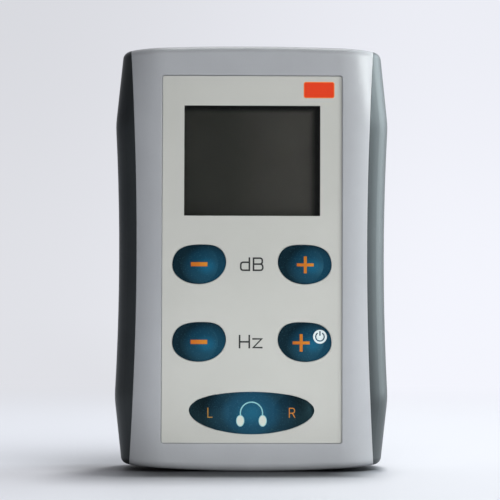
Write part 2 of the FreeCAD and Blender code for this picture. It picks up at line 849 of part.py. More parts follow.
def rear_shell(form, core):
    """Rear half: battery tray with its ledge, screw tubes, joint lip and hinge holes."""
    half = block("rear_half", WHOLE_WIDTH, ("parting_back", f"back + {OVERRUN}"), WHOLE_HEIGHT)
    blank = common("rear_blank", form, core, half)
    cavity = waist_body("rear_cavity", "side_wall", "foot_wall", "cavity_high", f"0 - {OVERRUN}",
                        "rear_inner")
    round_edges(cavity, "rear_cavity_round", "cavity_round", long_side_at("rear_inner"))
    hollow = cut("rear_hollow", blank, cavity)
    additions = [joint_lip()]
    removals = []
    for index, (x, z) in enumerate(CASE_SCREWS):
        additions.append(rod(f"rear_tube_{index}", "y", (x, z), ("0", f"back - {OVERRUN}"),
                             "case_boss_radius + head_gap"))
        removals.append(rod(f"rear_tube_hole_{index}", "y", (x, z), (f"0 - {OVERRUN}", "back"),
                            "case_screw_shank + screw_gap"))
        removals.append(rod(f"rear_counterbore_{index}", "y", (x, z),
                            ("case_screw_seat", f"back + {OVERRUN}"),
                            "case_screw_head + screw_gap"))
    outer_x = "tray_half_width + tray_wall"
    tray = block("tray", (f"0 - ({outer_x})", outer_x),
                 ("tray_front", f"rear_inner + {OVERRUN}"), ("tray_low - tray_wall", "tray_top"))
    ledge_x = "door_half_width + door_gap + ledge_cover"
    ledge = block("ledge", (f"0 - ({ledge_x})", ledge_x),
                  ("ledge_front", f"rear_inner + {OVERRUN}"),
                  ("door_low - door_gap - ledge_cover", "door_high + door_gap + ledge_cover"))
    additions += [tray, ledge]
    room = block("tray_room", ("0 - tray_half_width", "tray_half_width"),
                 ("tray_floor_depth", f"back + {OVERRUN}"), ("tray_low", "tray_high"))
    door_x = "door_half_width + door_gap"
    opening = block("door_opening", (f"0 - ({door_x})", door_x),
                    ("ledge_back", f"back + {OVERRUN}"),
                    ("door_low - door_gap", "door_high + door_gap"))
    catch_x = "catch_half_width + catch_gap"
    catch_room = block("catch_room", (f"0 - ({catch_x})", catch_x),
                       ("rear_inner - catch_depth - catch_gap", f"back + {OVERRUN}"),
                       ("catch_low - catch_gap", "catch_high + catch_gap"))
    reach = "door_half_width + pin_length + door_gap"
    pin_hole = rod("pin_hole", "x", ("hinge_depth", "hinge_height"), (f"0 - ({reach})", reach),
                   "pin_radius + pin_gap")
    removals += [room, opening, catch_room, pin_hole]
    for sign in (-1, 1):
        side = "left" if sign < 0 else "right"
        middle = f"{sign} * cell_spread"
        removals.append(block(f"tag_slot_{side}",
                              (f"{middle} - tag_half_width - plate_thickness",
                               f"{middle} + tag_half_width + plate_thickness"),
                              (f"tray_front - {OVERRUN}", "0"),
                              ("tray_low", "tray_low + 2 * plate_thickness")))
    keep(cut("rear_shell", fuse("rear_built", hollow, *additions), *removals))


def joint_lip():
    """Rib of the rear half that enters the front half all round and shuts the joint."""
    def ring(name, inset, front, back):
        return waist_body(name, inset, f"foot_wall - side_wall + ({inset})",
                          f"cavity_high + side_wall - ({inset})", front, back)
    seat = ring("lip_seat", "side_wall - lip_gap", "parting_back", "lip_height")
    tongue = ring("lip_tongue", "side_wall + lip_gap", "0 - lip_height", "lip_height")
    bore = ring("lip_bore", "side_wall + lip_gap + lip_thickness",
                f"0 - lip_height - {OVERRUN}", f"lip_height + {OVERRUN}")
    return cut("joint_lip", fuse("lip_solid", seat, tongue), bore)


def grips(form, core):
    """Soft grips: what the outer form has outside the shells, per side and per half."""
    shell = cut("grip_ring", form, core)
    halves = {"front": (f"face - {OVERRUN}", "parting_front"),
              "rear": ("parting_back", f"back + {OVERRUN}")}
    sides = {"left": (WHOLE_WIDTH[0], "0"), "right": ("0", WHOLE_WIDTH[1])}
    for half, depth in halves.items():
        for side, across in sides.items():
            zone = block(f"{half}_{side}_zone", across, depth, WHOLE_HEIGHT)
            keep(common(f"{half}_grip_{side}", shell, zone))


# ---------------------------------------------------------------- keypad and display

def overlay_film():
    """Printed film that covers the face, open at the display and round each key."""
    body = front_slab("film_sheet", ("0 - panel_half_width", "panel_half_width"),
                      ("panel_low", "panel_high"), "film_front", "recess_floor")
    round_edges(body, "film_corners", "panel_corner", runs_along_y)
    view = sketch_in(body, "film_window", "XZ_Plane", "0 - film_front")
    rectangle(view, ("0 - window_half_width", "window_half_width"), ("window_low", "window_high"))
    pocket(body, view, "film_thickness")
    holes = [key.prism(f"film_hole_{key.name}", "key_gap", f"film_front - {OVERRUN}",
                       f"recess_floor + {OVERRUN}")
             for key in KEYS]
    keep(cut("overlay_film", body, group("film_holes", *holes)))


def display_window():
    half = "window_half_width + lens_margin"
    keep(front_slab("display_window", (f"0 - ({half})", half),
                    ("window_low - lens_margin", "window_high + lens_margin"),
                    "recess_floor", "lens_back"))


def display_module():
    """Glass in its frame on the board, with light guide and two contact strips behind."""
    keep(front_slab("lcd_glass", ("0 - glass_half_width", "glass_half_width"),
                    ("glass_low", "glass_high"), "glass_front", "glass_back"))
    guide_low = "glass_low + strip_height + strip_gap"
    guide_high = "glass_high - strip_height - strip_gap"
    keep(front_slab("lcd_light_guide", ("0 - glass_half_width", "glass_half_width"),
                    (guide_low, guide_high), "glass_back", "board_front"))
    strips = []
    for name, low, high in (("lower", "glass_low", "glass_low + strip_height"),
                            ("upper", "glass_high - strip_height", "glass_high")):
        strips.append(block(f"strip_{name}",
                            ("0 - glass_half_width + strip_inset", "glass_half_width - strip_inset"),
                            ("glass_back", "board_front"), (low, high)))
    keep(group("lcd_contact_strips", *strips))
    outer_x = "glass_half_width + glass_gap + frame_wall"
    frame = front_slab("frame_blank", (f"0 - ({outer_x})", outer_x),
                       ("glass_low - glass_gap - frame_wall", "glass_high + glass_gap + frame_wall"),
                       "frame_front", "board_front")
    inner_x = "glass_half_width + glass_gap"
    room = block("frame_room", (f"0 - ({inner_x})", inner_x),
                 ("glass_front", f"board_front + {OVERRUN}"),
                 ("glass_low - glass_gap", "glass_high + glass_gap"))
    sight_x = "glass_half_width - frame_lip_cover"
    sight = block("frame_sight", (f"0 - ({sight_x})", sight_x),
                  (f"frame_front - {OVERRUN}", "glass_back"),
                  ("glass_low + frame_lip_cover", "glass_high - frame_lip_cover"))
    keep(cut("lcd_frame", frame, room, sight))


# ---------------------------------------------------------------- board

def main_board():
    body = front_slab("board_sheet", ("0 - board_half_width", "board_half_width"),
                      ("board_low", "board_high"), "board_front", "board_back")
    round_edges(body, "board_corners", "board_corner", runs_along_y)
    through = (f"board_front - {OVERRUN}", f"board_back + {OVERRUN}")
    holes = [rod(f"board_hole_{index}", "y", (x, z), through, "board_screw_shank + screw_gap")
             for index, (x, z) in enumerate(BOARD_SCREWS)]
    notch_x = "socket_half_width + socket_notch_gap"
    notch = block("socket_notch", (f"0 - ({notch_x})", notch_x), through,
                  ("socket_low - socket_notch_gap", f"board_high + {OVERRUN}"))
    keep(cut("main_board", body, notch, *holes))


def switches():
    """Six snap-dome switches on the front of the board, one behind each key."""
    bodies = []
    domes = []
    half = "switch_width / 2"
    for key in KEYS:
        bodies.append(block(f"switch_{key.name}", (f"{key.x} - {half}", f"{key.x} + {half}"),
                            ("switch_front", "board_front"),
                            (f"{key.z} - {half}", f"{key.z} + {half}")))
        domes.append(rod(f"snap_dome_{key.name}", "y", (key.x, key.z),
                         ("dome_front", "switch_front"), "switch_dome_radius"))
    keep(group("switch_bodies", *bodies))
    keep(group("switch_domes", *domes))


def chip(name, x, z, size, height, leads, sides):
    """Flat package on the back of the board with leads along the given sides."""
    half = f"{size} / 2"
    solids = [block(name + "_package", (f"{x} - {half}", f"{x} + {half}"),
                    ("board_back", f"board_back + {height}"), (f"{z} - {half}", f"{z} + {half}"))]
    thick = ("board_back", "board_back + lead_thickness")
    for side in sides:
        axis, sign = side
        for index in range(leads):
            step = f"lead_pitch * {index - (leads - 1) / 2}"
            near = f"{sign} * {half}"
            far = f"{sign} * ({half} + lead_reach)"
            out = (near, far) if sign > 0 else (far, near)
            along = (f"{step} - lead_width / 2", f"{step} + lead_width / 2")
            spans = (out, along) if axis == "x" else (along, out)
            across = tuple(f"{x} + {text}" for text in spans[0])
            upright = tuple(f"{z} + {text}" for text in spans[1])
            solids.append(block(f"{name}_lead_{axis}{sign + 1}_{index}", across, thick, upright))
    keep(group(name, *solids))


def board_parts():
    """What stands on the back of the board above the battery tray."""
    four_sides = (("x", 1), ("x", -1), ("z", 1), ("z", -1))
    two_sides = (("x", 1), ("x", -1))
    chip("microcontroller", "0", "tray_top + controller_rise", "controller_size",
         "controller_height", CONTROLLER_LEAD_COUNT, four_sides)
    chip("headphone_amplifier", "codec_spread", "tray_top + codec_rise", "codec_size",
         "codec_height", CODEC_LEAD_COUNT, two_sides)
    chip("tone_generator", "codec_spread", "tray_top + codec_rise + codec_step", "codec_size",
         "codec_height", CODEC_LEAD_COUNT, two_sides)
    crystal_z = "tray_top + crystal_rise"
    keep(block("clock_crystal", ("0 - crystal_length / 2", "crystal_length / 2"),
               ("board_back", "board_back + crystal_height"),
               (f"{crystal_z} - crystal_width / 2", f"{crystal_z} + crystal_width / 2")))
    step_up_coil()
    storage_capacitors()
    chip_parts()


def step_up_coil():
    """Ferrite drum with a groove for its winding."""
    place = ("0 - coil_spread", "tray_top + coil_rise")
    winding = ("board_back + coil_flange", "board_back + coil_height - coil_flange")
    drum = rod("coil_drum", "y", place, ("board_back", "board_back + coil_height"), "coil_radius")
    groove = rod("coil_groove", "y", place, winding, f"coil_radius + {OVERRUN}")
    core = rod("coil_core", "y", place, winding, "coil_core_radius")
    keep(cut("step_up_coil", drum, cut("coil_winding_room", groove, core)))


def storage_capacitors():
    """Two round cans above each other and a third between them."""
    places = [("0 - capacitor_spread", "0"), ("0 - capacitor_spread", "capacitor_step"),
              ("capacitor_stagger - capacitor_spread", "capacitor_step / 2")]
    cans = [rod(f"capacitor_{index}", "y", (x, f"tray_top + capacitor_rise + {rise}"),
                ("board_back", "board_back + capacitor_height"), "capacitor_radius")
            for index, (x, rise) in enumerate(places)]
    keep(group("storage_capacitors", *cans))


def chip_parts():
    """Two rows of five small chip parts, each as far from the next as it is long."""
    chips = []
    for column in range(5):
        for line in range(2):
            x = f"{column} * 2 * chip_part_length - chip_part_start"
            z = f"tray_top + chip_part_rise + {line} * 2 * chip_part_width"
            chips.append(block(f"chip_part_{column}_{line}", (x, f"{x} + chip_part_length"),
                               ("board_back", "board_back + chip_part_height"),
                               (z, f"{z} + chip_part_width")))
    keep(group("chip_parts", *chips))


def headphone_socket():
    """3.5 mm stereo socket in the board's notch, with solder tabs on the board's front."""
    body = block("socket_block", ("0 - socket_half_width", "socket_half_width"),
                 ("board_back - 2 * socket_half_depth", "board_back"),
                 ("socket_low", "socket_high"))
    nose = rod("socket_nose", "z", ("0", "socket_depth"), ("socket_high", "nose_high"),
               "socket_nose_radius")
    bore = rod("socket_bore_tool", "z", ("0", "socket_depth"),
               ("nose_high - socket_bore_length", f"nose_high + {OVERRUN}"), "socket_bore")
    keep(cut("headphone_socket", fuse("socket_solid", body, nose), bore))
    leaves = []
    for sign, side in ((-1, "left"), (1, "right")):
        near = f"{sign} * socket_half_width"
        far = f"{sign} * (socket_half_width + socket_notch_gap + contact_reach)"
        across = (near, far) if sign > 0 else (far, near)
        for step in (0, 1):
            low = f"socket_low + contact_margin + {step} * contact_step"
            leaves.append(block(f"socket_contact_{side}_{step}", across,
                                ("board_front - contact_thickness", "board_front"),
                                (low, f"{low} + contact_width")))
    keep(group("socket_contacts", *leaves))


# ---------------------------------------------------------------- cells and door

def cell(side, sign, plus_up):
    """AA cell with its nub at the top or at the bottom."""
    x = f"{sign} * cell_spread"
    place = (x, "cell_depth")
    if plus_up:
        body_low = "cells_low + spring_length"
        nub_span = ("cells_high - cell_nub_height", "cells_high")
    else:
        body_low = "cells_low + cell_nub_height"
        nub_span = ("cells_low", body_low)
    body = rod(f"cell_can_{side}", "z", place, (body_low, f"{body_low} + cell_body_length"),
               "cell_radius")
    nub = rod(f"cell_nub_{side}", "z", place, nub_span, "cell_nub_radius")
    keep(fuse(f"battery_cell_{side}", body, nub))


def spring(side, sign, low):
    """Coil spring of round wire that bears on a cell's flat end."""
    helix = doc.addObject("Part::Helix", f"spring_line_{side}")
    bind(helix, "Radius", "spring_radius")
    bind(helix, "Height", "spring_length - 2 * spring_wire")
    bind(helix, "Pitch", "(spring_length - 2 * spring_wire) / spring_turns")
    ring = doc.addObject("Part::Circle", f"spring_section_{side}")
    bind(ring, "Radius", "spring_wire")
    ring.Placement = Placement(Vector(), Rotation(Vector(1, 0, 0), 90))
    bind(ring, "Placement.Base.x", "spring_radius")
    sweep = doc.addObject("Part::Sweep", f"spring_{side}")
    sweep.Sections = [ring]
    sweep.Spine = (helix, ["Edge1"])
    sweep.Solid = True
    sweep.Frenet = True
    bind(sweep, "Placement.Base.x", f"{sign} * cell_spread")
    bind(sweep, "Placement.Base.y", "cell_depth")
    bind(sweep, "Placement.Base.z", f"{low} + spring_wire")
    return sweep


def battery_contacts():
    keep(group("battery_springs", spring("left", -1, "cells_low"),
               spring("right", 1, "cells_high - spring_length")))
    depth = ("cell_depth - plate_half_width", "cell_depth + plate_half_width")
    reach = "cell_spread + plate_half_width"
    keep(block("battery_link_plate", (f"0 - ({reach})", reach), depth, ("cells_high", "tray_high")))
    plates = []
    for sign, side in ((-1, "left"), (1, "right")):
        x = f"{sign} * cell_spread"
        height = ("tray_low", "cells_low")
        face = block(f"end_plate_{side}", (f"{x} - plate_half_width", f"{x} + plate_half_width"),
                     depth, height)
        tag = block(f"end_tag_{side}", (f"{x} - tag_half_width", f"{x} + tag_half_width"),
                    ("board_back", "cell_depth"), height)
        plates.append(fuse(f"battery_plate_{side}", face, tag))
    keep(group("battery_end_plates", *plates))


def battery_door():
    """Door with a rounded lower edge on two hinge pins, a thumb hollow and an upper catch."""
    plate = front_slab("door_plate", ("0 - door_half_width", "door_half_width"),
                       ("hinge_height", "door_high"), "rear_inner", "back")
    knuckle = rod("door_knuckle", "x", ("hinge_depth", "hinge_height"),
                  ("0 - door_half_width", "door_half_width"), "hinge_radius")
    reach = "door_half_width + pin_length"
    pins = rod("door_pins", "x", ("hinge_depth", "hinge_height"), (f"0 - ({reach})", reach),
               "pin_radius")
    catch = block("door_catch", ("0 - catch_half_width", "catch_half_width"),
                  ("rear_inner - catch_depth", f"back - {OVERRUN}"), ("catch_low", "catch_high"))
    body = fuse("door_solid", plate, knuckle, pins, catch)
    middle = "door_high - 2 * thumb_height"
    curve = "(thumb_half_width * thumb_half_width + thumb_depth * thumb_depth) / (2 * thumb_depth)"
    hollow = rod("thumb_hollow", "z", ("0", f"back - thumb_depth + {curve}"),
                 (f"{middle} - thumb_height / 2", f"{middle} + thumb_height / 2"), curve)
    keep(cut("battery_door", body, hollow))


# ---------------------------------------------------------------- assembly

case_form = outer_form()
case_core = waist_body("case_core", "0", *WHOLE_HEIGHT, f"face - {FAR}", f"back + {FAR}")
front_shell(case_form, case_core)
rear_shell(case_form, case_core)
grips(case_form, case_core)
case_screws()
overlay_film()
display_window()
for each_key in KEYS:
    key_cap(each_key)
    plunger(each_key)
display_module()
main_board()
switches()
board_screws()
board_parts()
headphone_socket()
cell("left", -1, True)
cell("right", 1, False)
battery_contacts()
battery_door()
doc.recompute()

for item in doc.Objects:
    if "Invalid" in item.State or "Error" in item.State:
        raise RuntimeError(f"{item.Name} could not be worked out: {item.State}")
for item in subparts:
    if item.Shape.isNull() or not item.Shape.isValid() or not item.Shape.Solids:
        raise RuntimeError(f"{item.Label} has no valid shape")

os.makedirs("parts", exist_ok=True)
for item in subparts:
    item.Shape.exportStep(f"parts/{item.Label}.step")
    print(f"{item.Label}: {len(item.Shape.Solids)} solids, {item.Shape.Volume:.1f} mm3")
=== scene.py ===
"""Looks of the handheld audiometer: finishes, prints, small fittings, floor, light and camera.

Metres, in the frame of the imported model: +X to the user's right, +Y from face to back, +Z up.
"""
import math

import bpy
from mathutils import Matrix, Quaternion, Vector
from mathutils.geometry import delaunay_2d_cdt


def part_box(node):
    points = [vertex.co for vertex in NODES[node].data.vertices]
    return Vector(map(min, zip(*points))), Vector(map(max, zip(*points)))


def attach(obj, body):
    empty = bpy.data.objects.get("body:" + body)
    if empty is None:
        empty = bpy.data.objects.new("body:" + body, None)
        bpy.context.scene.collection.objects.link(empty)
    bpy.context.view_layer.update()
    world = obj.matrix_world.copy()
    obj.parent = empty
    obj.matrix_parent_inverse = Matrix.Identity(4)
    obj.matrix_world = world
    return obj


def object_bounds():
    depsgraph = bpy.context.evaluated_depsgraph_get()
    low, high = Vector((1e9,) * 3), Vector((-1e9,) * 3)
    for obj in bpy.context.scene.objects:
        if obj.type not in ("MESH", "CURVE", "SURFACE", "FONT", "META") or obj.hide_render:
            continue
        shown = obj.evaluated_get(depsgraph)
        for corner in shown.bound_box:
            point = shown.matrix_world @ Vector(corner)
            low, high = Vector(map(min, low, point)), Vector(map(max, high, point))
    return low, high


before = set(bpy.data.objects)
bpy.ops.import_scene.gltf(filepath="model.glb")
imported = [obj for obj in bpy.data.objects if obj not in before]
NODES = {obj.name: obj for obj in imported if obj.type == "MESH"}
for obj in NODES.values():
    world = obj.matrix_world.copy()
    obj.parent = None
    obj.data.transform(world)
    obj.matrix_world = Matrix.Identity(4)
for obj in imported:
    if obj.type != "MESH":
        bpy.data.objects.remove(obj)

MM = 0.001
WHOLE_TURN = 2 * math.pi
CAD_LOW, CAD_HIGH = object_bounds()

KEY_NAMES = ("level_down", "level_up", "pitch_down", "pitch_up", "left_ear", "right_ear")
EAR_KEYS = ("left_ear", "right_ear")

# Prints: how far they stand off their surface, how deep they sink into it, and their mesh size.
PRINT_LIFT = 0.012 * MM
PRINT_SINK = 0.03 * MM
PRINT_CELL = 0.45 * MM

# Curves: steps in a whole turn, and in the shortest arc. Pen lines: the least lean of a corner
# that its mitre follows, so that sharp corners stay short.
ARC_STEPS = 48
FEWEST_STEPS = 6
LEAST_LEAN = 0.5

# Triangulation of prints: triangles inside the outlines only, and how near points may come.
INSIDE_ONLY = 1
NEAR_POINTS = 1e-5

# Embossed domes in the middle of the keys.
DOME_RADIUS = 5.4 * MM
DOME_RISE = 0.5 * MM
EAR_ROW_RISE = 8.5 * MM    # from the foot of the film

# The blue oval round the ear keys: half its width and height, how far its ends are raised, the
# steps in its outline, and the height over which its blue darkens.
OVAL_REACH = (17.95 * MM, 6.08 * MM)
OVAL_BEND = 0.77 * MM
OVAL_STEPS = 72
OVAL_SHADE_RISE = 14 * MM

# The print of the domed keys: its brightest spot, off the key's centre to the right and down, where
# the print's bright middle is moved as a painted highlight from the lamps on the right; and the
# reach of its shading as a share of the key's width and height.
KEY_PAINTED_HIGHLIGHT = Vector((2.2 * MM, 0, -0.6 * MM))
KEY_SHADE_SHARES = (0.52, 0.60)

# Inks.
ORANGE_RED = (0.47, 0.122, 0.008)
ORANGE_YELLOW = (0.52, 0.178, 0.010)
LETTER_YELLOW = (0.42, 0.200, 0.018)
LEGEND_GREY = (0.024, 0.027, 0.026)
ARROW_GREY = (0.10, 0.104, 0.11)
PALE_CYAN = (0.23, 0.50, 0.52)
PAD_CREAM = (0.56, 0.60, 0.53)
POWER_WHITE = (0.60, 0.66, 0.66)
BADGE_ORANGE = (0.70, 0.040, 0.005)
RIM_ORANGE = (0.82, 0.28, 0.06)
INK_WEAR = (0.05, 0.045, 0.04)


# ---------------------------------------------------------------- places taken from the frame

def middle(node):
    low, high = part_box(node)
    return (low + high) / 2


FILM_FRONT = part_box("overlay_film")[0].y
KEY_CENTRES = {name: middle("key_" + name) for name in KEY_NAMES}
EAR_CAP_RADIUS = (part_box("key_left_ear")[1].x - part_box("key_left_ear")[0].x) / 2
EAR_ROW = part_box("overlay_film")[0].z + EAR_ROW_RISE
for ear_key in EAR_KEYS:
    KEY_CENTRES[ear_key].z = EAR_ROW


# ---------------------------------------------------------------- finishes

class Graph:
    """Short calls that add nodes to one node tree."""

    def __init__(self, tree):
        self.nodes = tree.nodes
        self.links = tree.links

    def node(self, kind, inputs, **settings):
        """New node; a socket among the inputs is linked, and any other input is set."""
        item = self.nodes.new(kind)
        for key, setting in settings.items():
            setattr(item, key, setting)
        for key, source in inputs.items():
            if isinstance(source, bpy.types.NodeSocket):
                self.links.new(source, item.inputs[key])
            else:
                item.inputs[key].default_value = source
        return item

    def spread(self, source, low, high, start=0.0, end=1.0):
        """Map a factor between low and high to the range from start to end, smoothly."""
        inputs = {"Value": source, "From Min": low, "From Max": high,
                  "To Min": start, "To Max": end}
        item = self.node("ShaderNodeMapRange", inputs, interpolation_type="SMOOTHSTEP")
        return item.outputs[0]

    def maths(self, operation, *terms):
        item = self.node("ShaderNodeMath", dict(enumerate(terms)), operation=operation)
        return item.outputs[0]

    def ramp(self, factor, *stops):
        item = self.node("ShaderNodeValToRGB", {0: factor})
        item.color_ramp.interpolation = "EASE"
        points = item.color_ramp.elements
        while len(points) < len(stops):
            points.new(0.5)
        for point, (place, colour) in zip(points, stops):
            point.position = place
            point.color = (*colour, 1)
        return item.outputs[0]

    def mix(self, factor, first, second):
        inputs = {0: factor}
        for index, colour in ((6, first), (7, second)):
            is_socket = isinstance(colour, bpy.types.NodeSocket)
            inputs[index] = colour if is_socket else (*colour, 1)
        return self.node("ShaderNodeMix", inputs, data_type="RGBA").outputs[2]


class Finish(Graph):
    """Procedural material: one Principled shader, and nodes that are put before it."""

    def __init__(self, name, **inputs):
        """Inputs are the shader's own, so that specular_tint sets the socket Specular Tint."""
        self.material = bpy.data.materials.new(name)
        self.material.use_nodes = True
        super().__init__(self.material.node_tree)
        self.shader = self.nodes["Principled BSDF"]
        for key, setting in inputs.items():
            title = key.replace("_", " ").title().replace("Ior", "IOR")
            self.shader.inputs[title].default_value = setting
        self.position = self.nodes.new("ShaderNodeTexCoord").outputs["Object"]

    def noise(self, size, detail=2.0, at=None):
        """Soft noise whose blots are about this size."""
        inputs = {"Vector": at or self.position, "Scale": 1 / size, "Detail": detail}
        return self.node("ShaderNodeTexNoise", inputs).outputs[0]

    def cells(self, size):
        inputs = {"Vector": self.position, "Scale": 1 / size}
        return self.node("ShaderNodeTexVoronoi", inputs).outputs["Distance"]

    def axis(self, letter):
        item = self.node("ShaderNodeSeparateXYZ", {0: self.position})
        return item.outputs["XYZ".index(letter)]

    def distance(self, centre, reach):
        """Distance from a centre as a share of the reach along each axis; 0 leaves an axis out."""
        shares = [0.0 if size == 0 else 1 / size for size in reach]
        offset = self.node("ShaderNodeVectorMath", {0: self.position, 1: tuple(centre)},
                           operation="SUBTRACT").outputs[0]
        scaled = self.node("ShaderNodeVectorMath", {0: offset, 1: shares},
                           operation="MULTIPLY").outputs[0]
        length = self.node("ShaderNodeVectorMath", {0: scaled}, operation="LENGTH")
        return length.outputs["Value"]

    def colour(self, source):
        self.links.new(source, self.shader.inputs["Base Color"])

    def roughness(self, source):
        self.links.new(source, self.shader.inputs["Roughness"])

    def bump(self, height, depth, strength, normal=None):
        """Relief of this depth; a normal from an earlier call is passed on."""
        inputs = {"Height": height, "Distance": depth, "Strength": strength}
        if normal:
            inputs["Normal"] = normal
        output = self.node("ShaderNodeBump", inputs).outputs[0]
        self.links.new(output, self.shader.inputs["Normal"])

    def soft_edges(self, radius):
        return self.node("ShaderNodeBevel", {"Radius": radius}, samples=6).outputs[0]


def moulded(name, dark, light, roughness, grain=0.3 * MM, relief=0.006 * MM, edge=0.15 * MM):
    """Moulded plastic: two close tones in soft blots, spark-eroded grain, slightly broken edges."""
    finish = Finish(name)
    blots = finish.noise(9 * MM, 3.0)
    flecks = finish.noise(grain, 2.0)
    tone = finish.maths("ADD", finish.maths("MULTIPLY", blots, 0.6),
                        finish.maths("MULTIPLY", flecks, 0.4))
    finish.colour(finish.mix(finish.spread(tone, 0.3, 0.7), dark, light))
    finish.roughness(finish.spread(flecks, 0.3, 0.7, roughness - 0.05, roughness + 0.05))
    finish.bump(flecks, relief, 0.6, finish.soft_edges(edge))
    return finish


def metal(name, dark, light, roughness):
    """Drawn or plated metal: fine level streaks and slight tarnish."""
    stretch = (1, 1, 12)
    finish = Finish(name, metallic=1.0)
    mapping = finish.node("ShaderNodeMapping", {"Vector": finish.position, "Scale": stretch})
    streaks = finish.noise(0.25 * MM, 3.0, at=mapping.outputs[0])
    tarnish = finish.noise(3 * MM, 3.0)
    finish.colour(finish.mix(finish.spread(tarnish, 0.35, 0.7), light, dark))
    finish.roughness(finish.spread(streaks, 0.2, 0.8, roughness - 0.08, roughness + 0.12))
    finish.bump(streaks, 0.004 * MM, 0.5)
    return finish


def shell_silver():
    """Satin silver-grey ABS with a fine metallic fleck."""
    return moulded("shell_silver", (0.338, 0.345, 0.360), (0.356, 0.363, 0.379), 0.36,
                   grain=0.22 * MM, relief=0.005 * MM, edge=0.45 * MM)


def grip_rubber():
    """Soft-touch anthracite elastomer: matt, with a fine pebbled skin and a little dust."""
    finish = Finish("grip_rubber", specular_tint=(0.86, 1.0, 1.05, 1))
    pebbles = finish.cells(0.32 * MM)
    dust = finish.noise(1.6 * MM, 6.0)
    clouds = finish.noise(14 * MM, 3.0)
    rubber = finish.mix(finish.spread(clouds, 0.3, 0.7),
                        (0.0095, 0.010, 0.0105), (0.0135, 0.0142, 0.0145))
    dusty = finish.spread(dust, 0.66, 0.82, 0.0, 0.25)
    finish.colour(finish.mix(dusty, rubber, (0.06, 0.06, 0.058)))
    finish.roughness(finish.spread(pebbles, 0.0, 0.6, 0.5, 0.42))
    finish.bump(pebbles, 0.012 * MM, 0.35, finish.soft_edges(0.2 * MM))
    return finish


def film_ivory():
    """Velvet polyester film, printed ivory on its back."""
    finish = Finish("film_ivory")
    velvet = finish.noise(0.12 * MM, 2.0)
    print_tone = finish.noise(22 * MM, 4.0)
    specks = finish.noise(0.5 * MM, 4.0)
    base = finish.mix(finish.spread(print_tone, 0.3, 0.7),
                      (0.462, 0.460, 0.425), (0.486, 0.483, 0.448))
    finish.colour(finish.mix(finish.spread(specks, 0.62, 0.8, 0.0, 0.35), base, (0.43, 0.43, 0.40)))
    finish.roughness(finish.spread(velvet, 0.3, 0.7, 0.44, 0.56))
    finish.bump(velvet, 0.004 * MM, 0.4, finish.soft_edges(0.1 * MM))
    return finish


def printed_blue(name, centre, reach, *stops):
    """Blue print under gloss varnish: bright in the middle and darker towards its rim."""
    finish = Finish(name, specular_ior_level=0.38, specular_tint=(0.35, 0.88, 1.0, 1))
    share = finish.distance(centre, (reach[0], 0, reach[1]))
    grain = finish.noise(0.35 * MM, 3.0)
    worn = finish.maths("ADD", share, finish.spread(grain, 0.0, 1.0, -0.03, 0.03))
    finish.colour(finish.ramp(worn, *stops))
    finish.roughness(finish.spread(grain, 0.3, 0.7, 0.22, 0.28))
    finish.bump(finish.noise(0.2 * MM), 0.002 * MM, 0.25)
    return finish


def key_blue(name):
    low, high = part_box("key_" + name)
    reach = ((high.x - low.x) * KEY_SHADE_SHARES[0], (high.z - low.z) * KEY_SHADE_SHARES[1])
    # The print's bright middle is real print; its shift to the right and down is a painted
    # highlight.
    centre = KEY_CENTRES[name] + KEY_PAINTED_HIGHLIGHT
    return printed_blue("blue_" + name, centre, reach, (0.0, (0.0060, 0.078, 0.145)),
                        (0.5, (0.0052, 0.036, 0.066)), (1.0, (0.0030, 0.0108, 0.0180)))


def oval_blue(name):
    centre = Vector((0, 0, EAR_ROW))
    return printed_blue(name, centre, (OVAL_REACH[0], OVAL_SHADE_RISE),
                        (0.0, (0.0080, 0.088, 0.158)), (0.34, (0.0062, 0.044, 0.086)),
                        (0.54, (0.0048, 0.020, 0.035)), (0.8, (0.0034, 0.0075, 0.0105)))


def ink(name, first, second, centre_x, half_width, roughness=0.42):
    """Screen-printed ink that runs from one colour to another across the mark."""
    finish = Finish(name, specular_ior_level=0.25)
    run = finish.spread(finish.axis("X"), centre_x - half_width, centre_x + half_width)
    mottle = finish.noise(0.2 * MM, 3.0)
    colour = finish.mix(run, first, second)
    finish.colour(finish.mix(finish.spread(mottle, 0.55, 0.8, 0.0, 0.2), colour, INK_WEAR))
    finish.roughness(finish.spread(mottle, 0.3, 0.7, roughness - 0.05, roughness + 0.05))
    finish.bump(mottle, 0.003 * MM, 0.4)
    return finish


def plain_ink(name, colour, roughness=0.42):
    return ink(name, colour, colour, 0, 4 * MM, roughness)


def window_clear():
    """Clear hard-coated acrylic with faint wiping marks and specks of dust."""
    finish = Finish("window_clear", roughness=0.04, transmission_weight=1.0, ior=1.49)
    smears = finish.noise(9 * MM, 2.0)
    dust = finish.spread(finish.cells(2.6 * MM), 0.0, 0.045, 1.0, 0.0)
    clear = finish.mix(finish.spread(smears, 0.3, 0.8), (0.96, 0.965, 0.95), (0.90, 0.905, 0.89))
    finish.colour(finish.mix(dust, clear, (0.99, 0.99, 0.98)))
    finish.bump(smears, 0.004 * MM, 0.3)
    return finish


